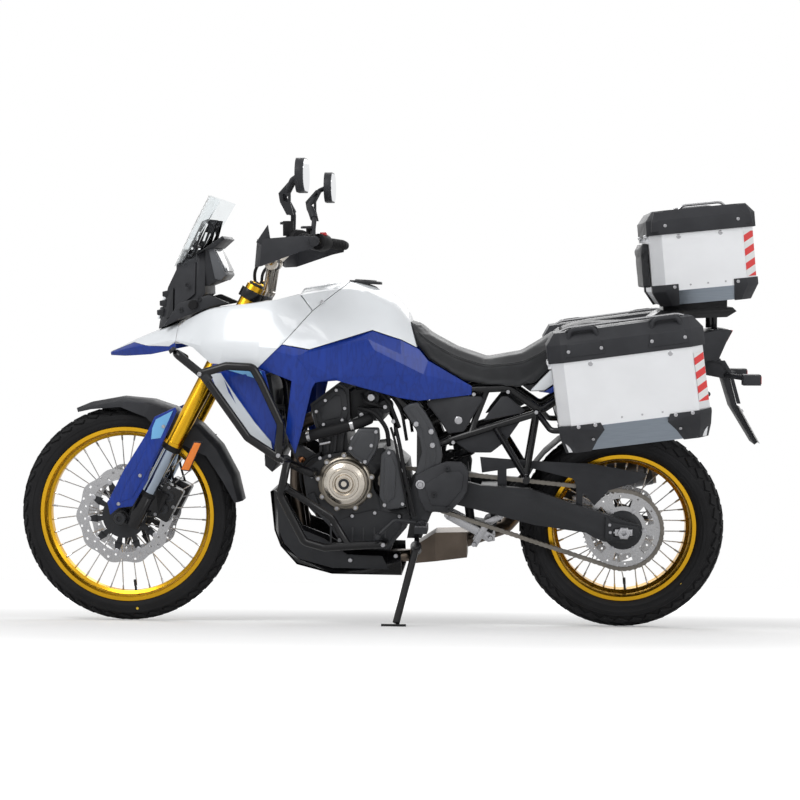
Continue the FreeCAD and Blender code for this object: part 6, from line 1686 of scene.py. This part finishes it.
def rear_details():
    shoe = [(730, 372), (748, 352), (828, 340), (834, 318), (826, 306), (742, 296), (728, 300)]
    obj = raw_object("axle_shoe", prism(shoe, -158, -150.2))
    cut(obj, block(754, 812, -160, -140, 309, 333), "DIFFERENCE")
    soften(obj, 2)
    settle(obj, "chassis", SATIN_BLACK, SLOTS["swingarm"])
    nut = turned([(0, 8.4), (0, 21), (9, 21), (12, 18), (12, 8.4)], (785, -160.2, 321), (0, -1, 0), 6)
    fitted("axle_nut", nut, ZINC, "swingarm", smooth=20, bevel=1)
    plate_pair("adjuster_block", [(758, 311), (812, 311), (812, 331), (758, 331)], 150.3, 156, ZINC,
        "swingarm", 1)
    screws("adjuster_bolts", [(744, -158, 322), (742, -158, 345)], 5)
    fitted("adjuster_rod", rod((730, -152, 321), (758, -152, 321), 4), ZINC, "swingarm")
    plate_pair("tail_side_white", [(497, 755), (530, 790), (574, 834), (586, 812), (592, 792), (560, 770),
        (541, 757)], 127, 156, WHITE, "tail_cowl", 5)
    plate_pair("tail_side_blue", [(524, 753), (541, 753), (562, 766), (594, 788), (600, 770), (560, 748)],
        127, 152, BLUE, "tail_cowl", 3)
    lens = joined(block(1190, 1192.5, -182, -138, 780, 804), block(1190, 1192.5, 138, 182, 780, 804))
    fitted("indicator_lenses", lens, RED, "tail_lamp", bevel=1)
    seam = []
    for sign in (-1, 1):
        line = [(150, 112, 936), (190, 130, 904), (266, 141, 862), (363, 146, 832), (471, 146, 843),
            (540, 138, 876), (586, 127, 914)]
        seam.append(tube([(x, sign * y, z) for x, y, z in line], 1.8, 30, 8))
    fitted("seat_piping", joined(*seam), SEAT, "rider_seat", smooth=60)
    holder = [(1052, 842), (1086, 836), (1110, 800), (1134, 712), (1146, 712), (1120, 806), (1096, 846)]
    plate_pair("plate_holder_rib", holder, 60.3, 64, BLACK_PLASTIC, "plate_holder", 1.5)
    screws("plate_screws", [(1150, -60, 690), (1150, 60, 690)], 5, axis=(0.87, 0, 0.48))


rear_details()

for name, node in frame["nodes"].items():
    node.data.materials.clear()
    node.data.materials.append(FINISHES.get(name, SATIN_BLACK))


# Floor, light and camera

def worked_out(tree, operation, *factors):
    """A sum of two values, each another node's output or a plain number."""
    node = add(tree, "ShaderNodeMath", operation=operation)
    for socket, factor in zip(node.inputs, factors):
        if isinstance(factor, float):
            socket.default_value = factor
        else:
            tree.links.new(factor, socket)
    return node.outputs["Value"]


def floor_material():
    """A pale floor that fades to the background's white away from the machine."""
    material, tree, base = surface("pale_floor", Roughness=0.8, Specular_IOR_Level=0.1,
        Emission_Color=(1, 1, 1, 1))
    feed(tree, base, "Base Color", noise(tree, 3.0), (0.3, (0.90,) * 3), (0.7, (0.92,) * 3))
    source = add(tree, "ShaderNodeTexCoord")
    reach = add(tree, "ShaderNodeVectorMath", operation="LENGTH")
    tree.links.new(source.outputs["Object"], reach.inputs[0])
    fade = add(tree, "ShaderNodeMapRange", {"From Min": 1.4, "From Max": 4.5, "To Min": 0.15,
        "To Max": 0.75})
    tree.links.new(reach.outputs["Value"], fade.inputs["Value"])
    seen = add(tree, "ShaderNodeLightPath").outputs["Is Camera Ray"]
    glow = worked_out(tree, "MULTIPLY", fade.outputs["Result"], seen)
    tree.links.new(glow, base.inputs["Emission Strength"])
    return material


def studio_world():
    """White where it is seen or reflected, and a plain soft light elsewhere."""
    world = bpy.data.worlds.new("studio")
    world.use_nodes = True
    tree = world.node_tree
    back = tree.nodes["Background"]
    back.inputs["Color"].default_value = (1, 1, 1, 1)
    path = add(tree, "ShaderNodeLightPath").outputs
    seen = worked_out(tree, "MAXIMUM", path["Is Camera Ray"], path["Is Transmission Ray"])
    shine = worked_out(tree, "MULTIPLY", path["Is Glossy Ray"], 0.8)
    level = add(tree, "ShaderNodeMapRange", {"To Min": 0.42, "To Max": 1.0})
    tree.links.new(worked_out(tree, "MAXIMUM", seen, shine), level.inputs["Value"])
    tree.links.new(level.outputs["Result"], back.inputs["Strength"])
    scene.world = world


def stage():
    mesh = bpy.data.meshes.new("floor")
    reach = 14.0
    mesh.from_pydata([(-reach, -reach, 0), (reach, -reach, 0), (reach, reach, 0), (-reach, reach, 0)], [],
        [(0, 1, 2, 3)])
    floor = link(bpy.data.objects.new("floor", mesh))
    floor.data.materials.append(floor_material())
    studio_world()
    for name, place, size, power in (("key", (-2.4, -4.2, 4.4), 3.0, 150),
            ("fill", (3.8, -3.4, 2.6), 2.6, 60), ("rim", (0.5, 4.4, 4.2), 3.6, 90)):
        lamp = bpy.data.lights.new(name, "AREA")
        lamp.energy = power
        lamp.size = size
        obj = link(bpy.data.objects.new(name, lamp))
        obj.location = place
        obj.rotation_euler = (Vector((0, 0, 0.6)) - Vector(place)).to_track_quat("-Z", "Y").to_euler()


# The photograph's viewpoint, found by matching points of the machine in the picture
VIEW_PLACE = Vector((462, -5508, 167))
VIEW_YAW, VIEW_PITCH, VIEW_ROLL = math.radians(3.98), math.radians(5.69), math.radians(0.64)
VIEW_LENS, VIEW_SENSOR = 77.1, 36


def camera():
    """Low, from the left, turned a little to the front."""
    yaw, pitch, roll = VIEW_YAW, VIEW_PITCH, VIEW_ROLL
    ahead = Vector((-math.sin(yaw) * math.cos(pitch), math.cos(yaw) * math.cos(pitch), math.sin(pitch)))
    level = Vector((math.cos(yaw), math.sin(yaw), 0))
    rise = level.cross(ahead)
    right = level * math.cos(roll) + rise * math.sin(roll)
    up = right.cross(ahead)
    lens = bpy.data.cameras.new("photo_view")
    lens.sensor_width, lens.lens = VIEW_SENSOR, VIEW_LENS
    obj = link(bpy.data.objects.new("photo_view", lens))
    basis = Matrix((right, up, -ahead)).transposed().to_4x4()
    place = (VIEW_PLACE + Vector((shift.x, shift.y, 0))) * 0.001
    obj.matrix_world = Matrix.Translation(place) @ basis
    scene.camera = obj


stage()
camera()
scene.view_settings.view_transform = "Standard"
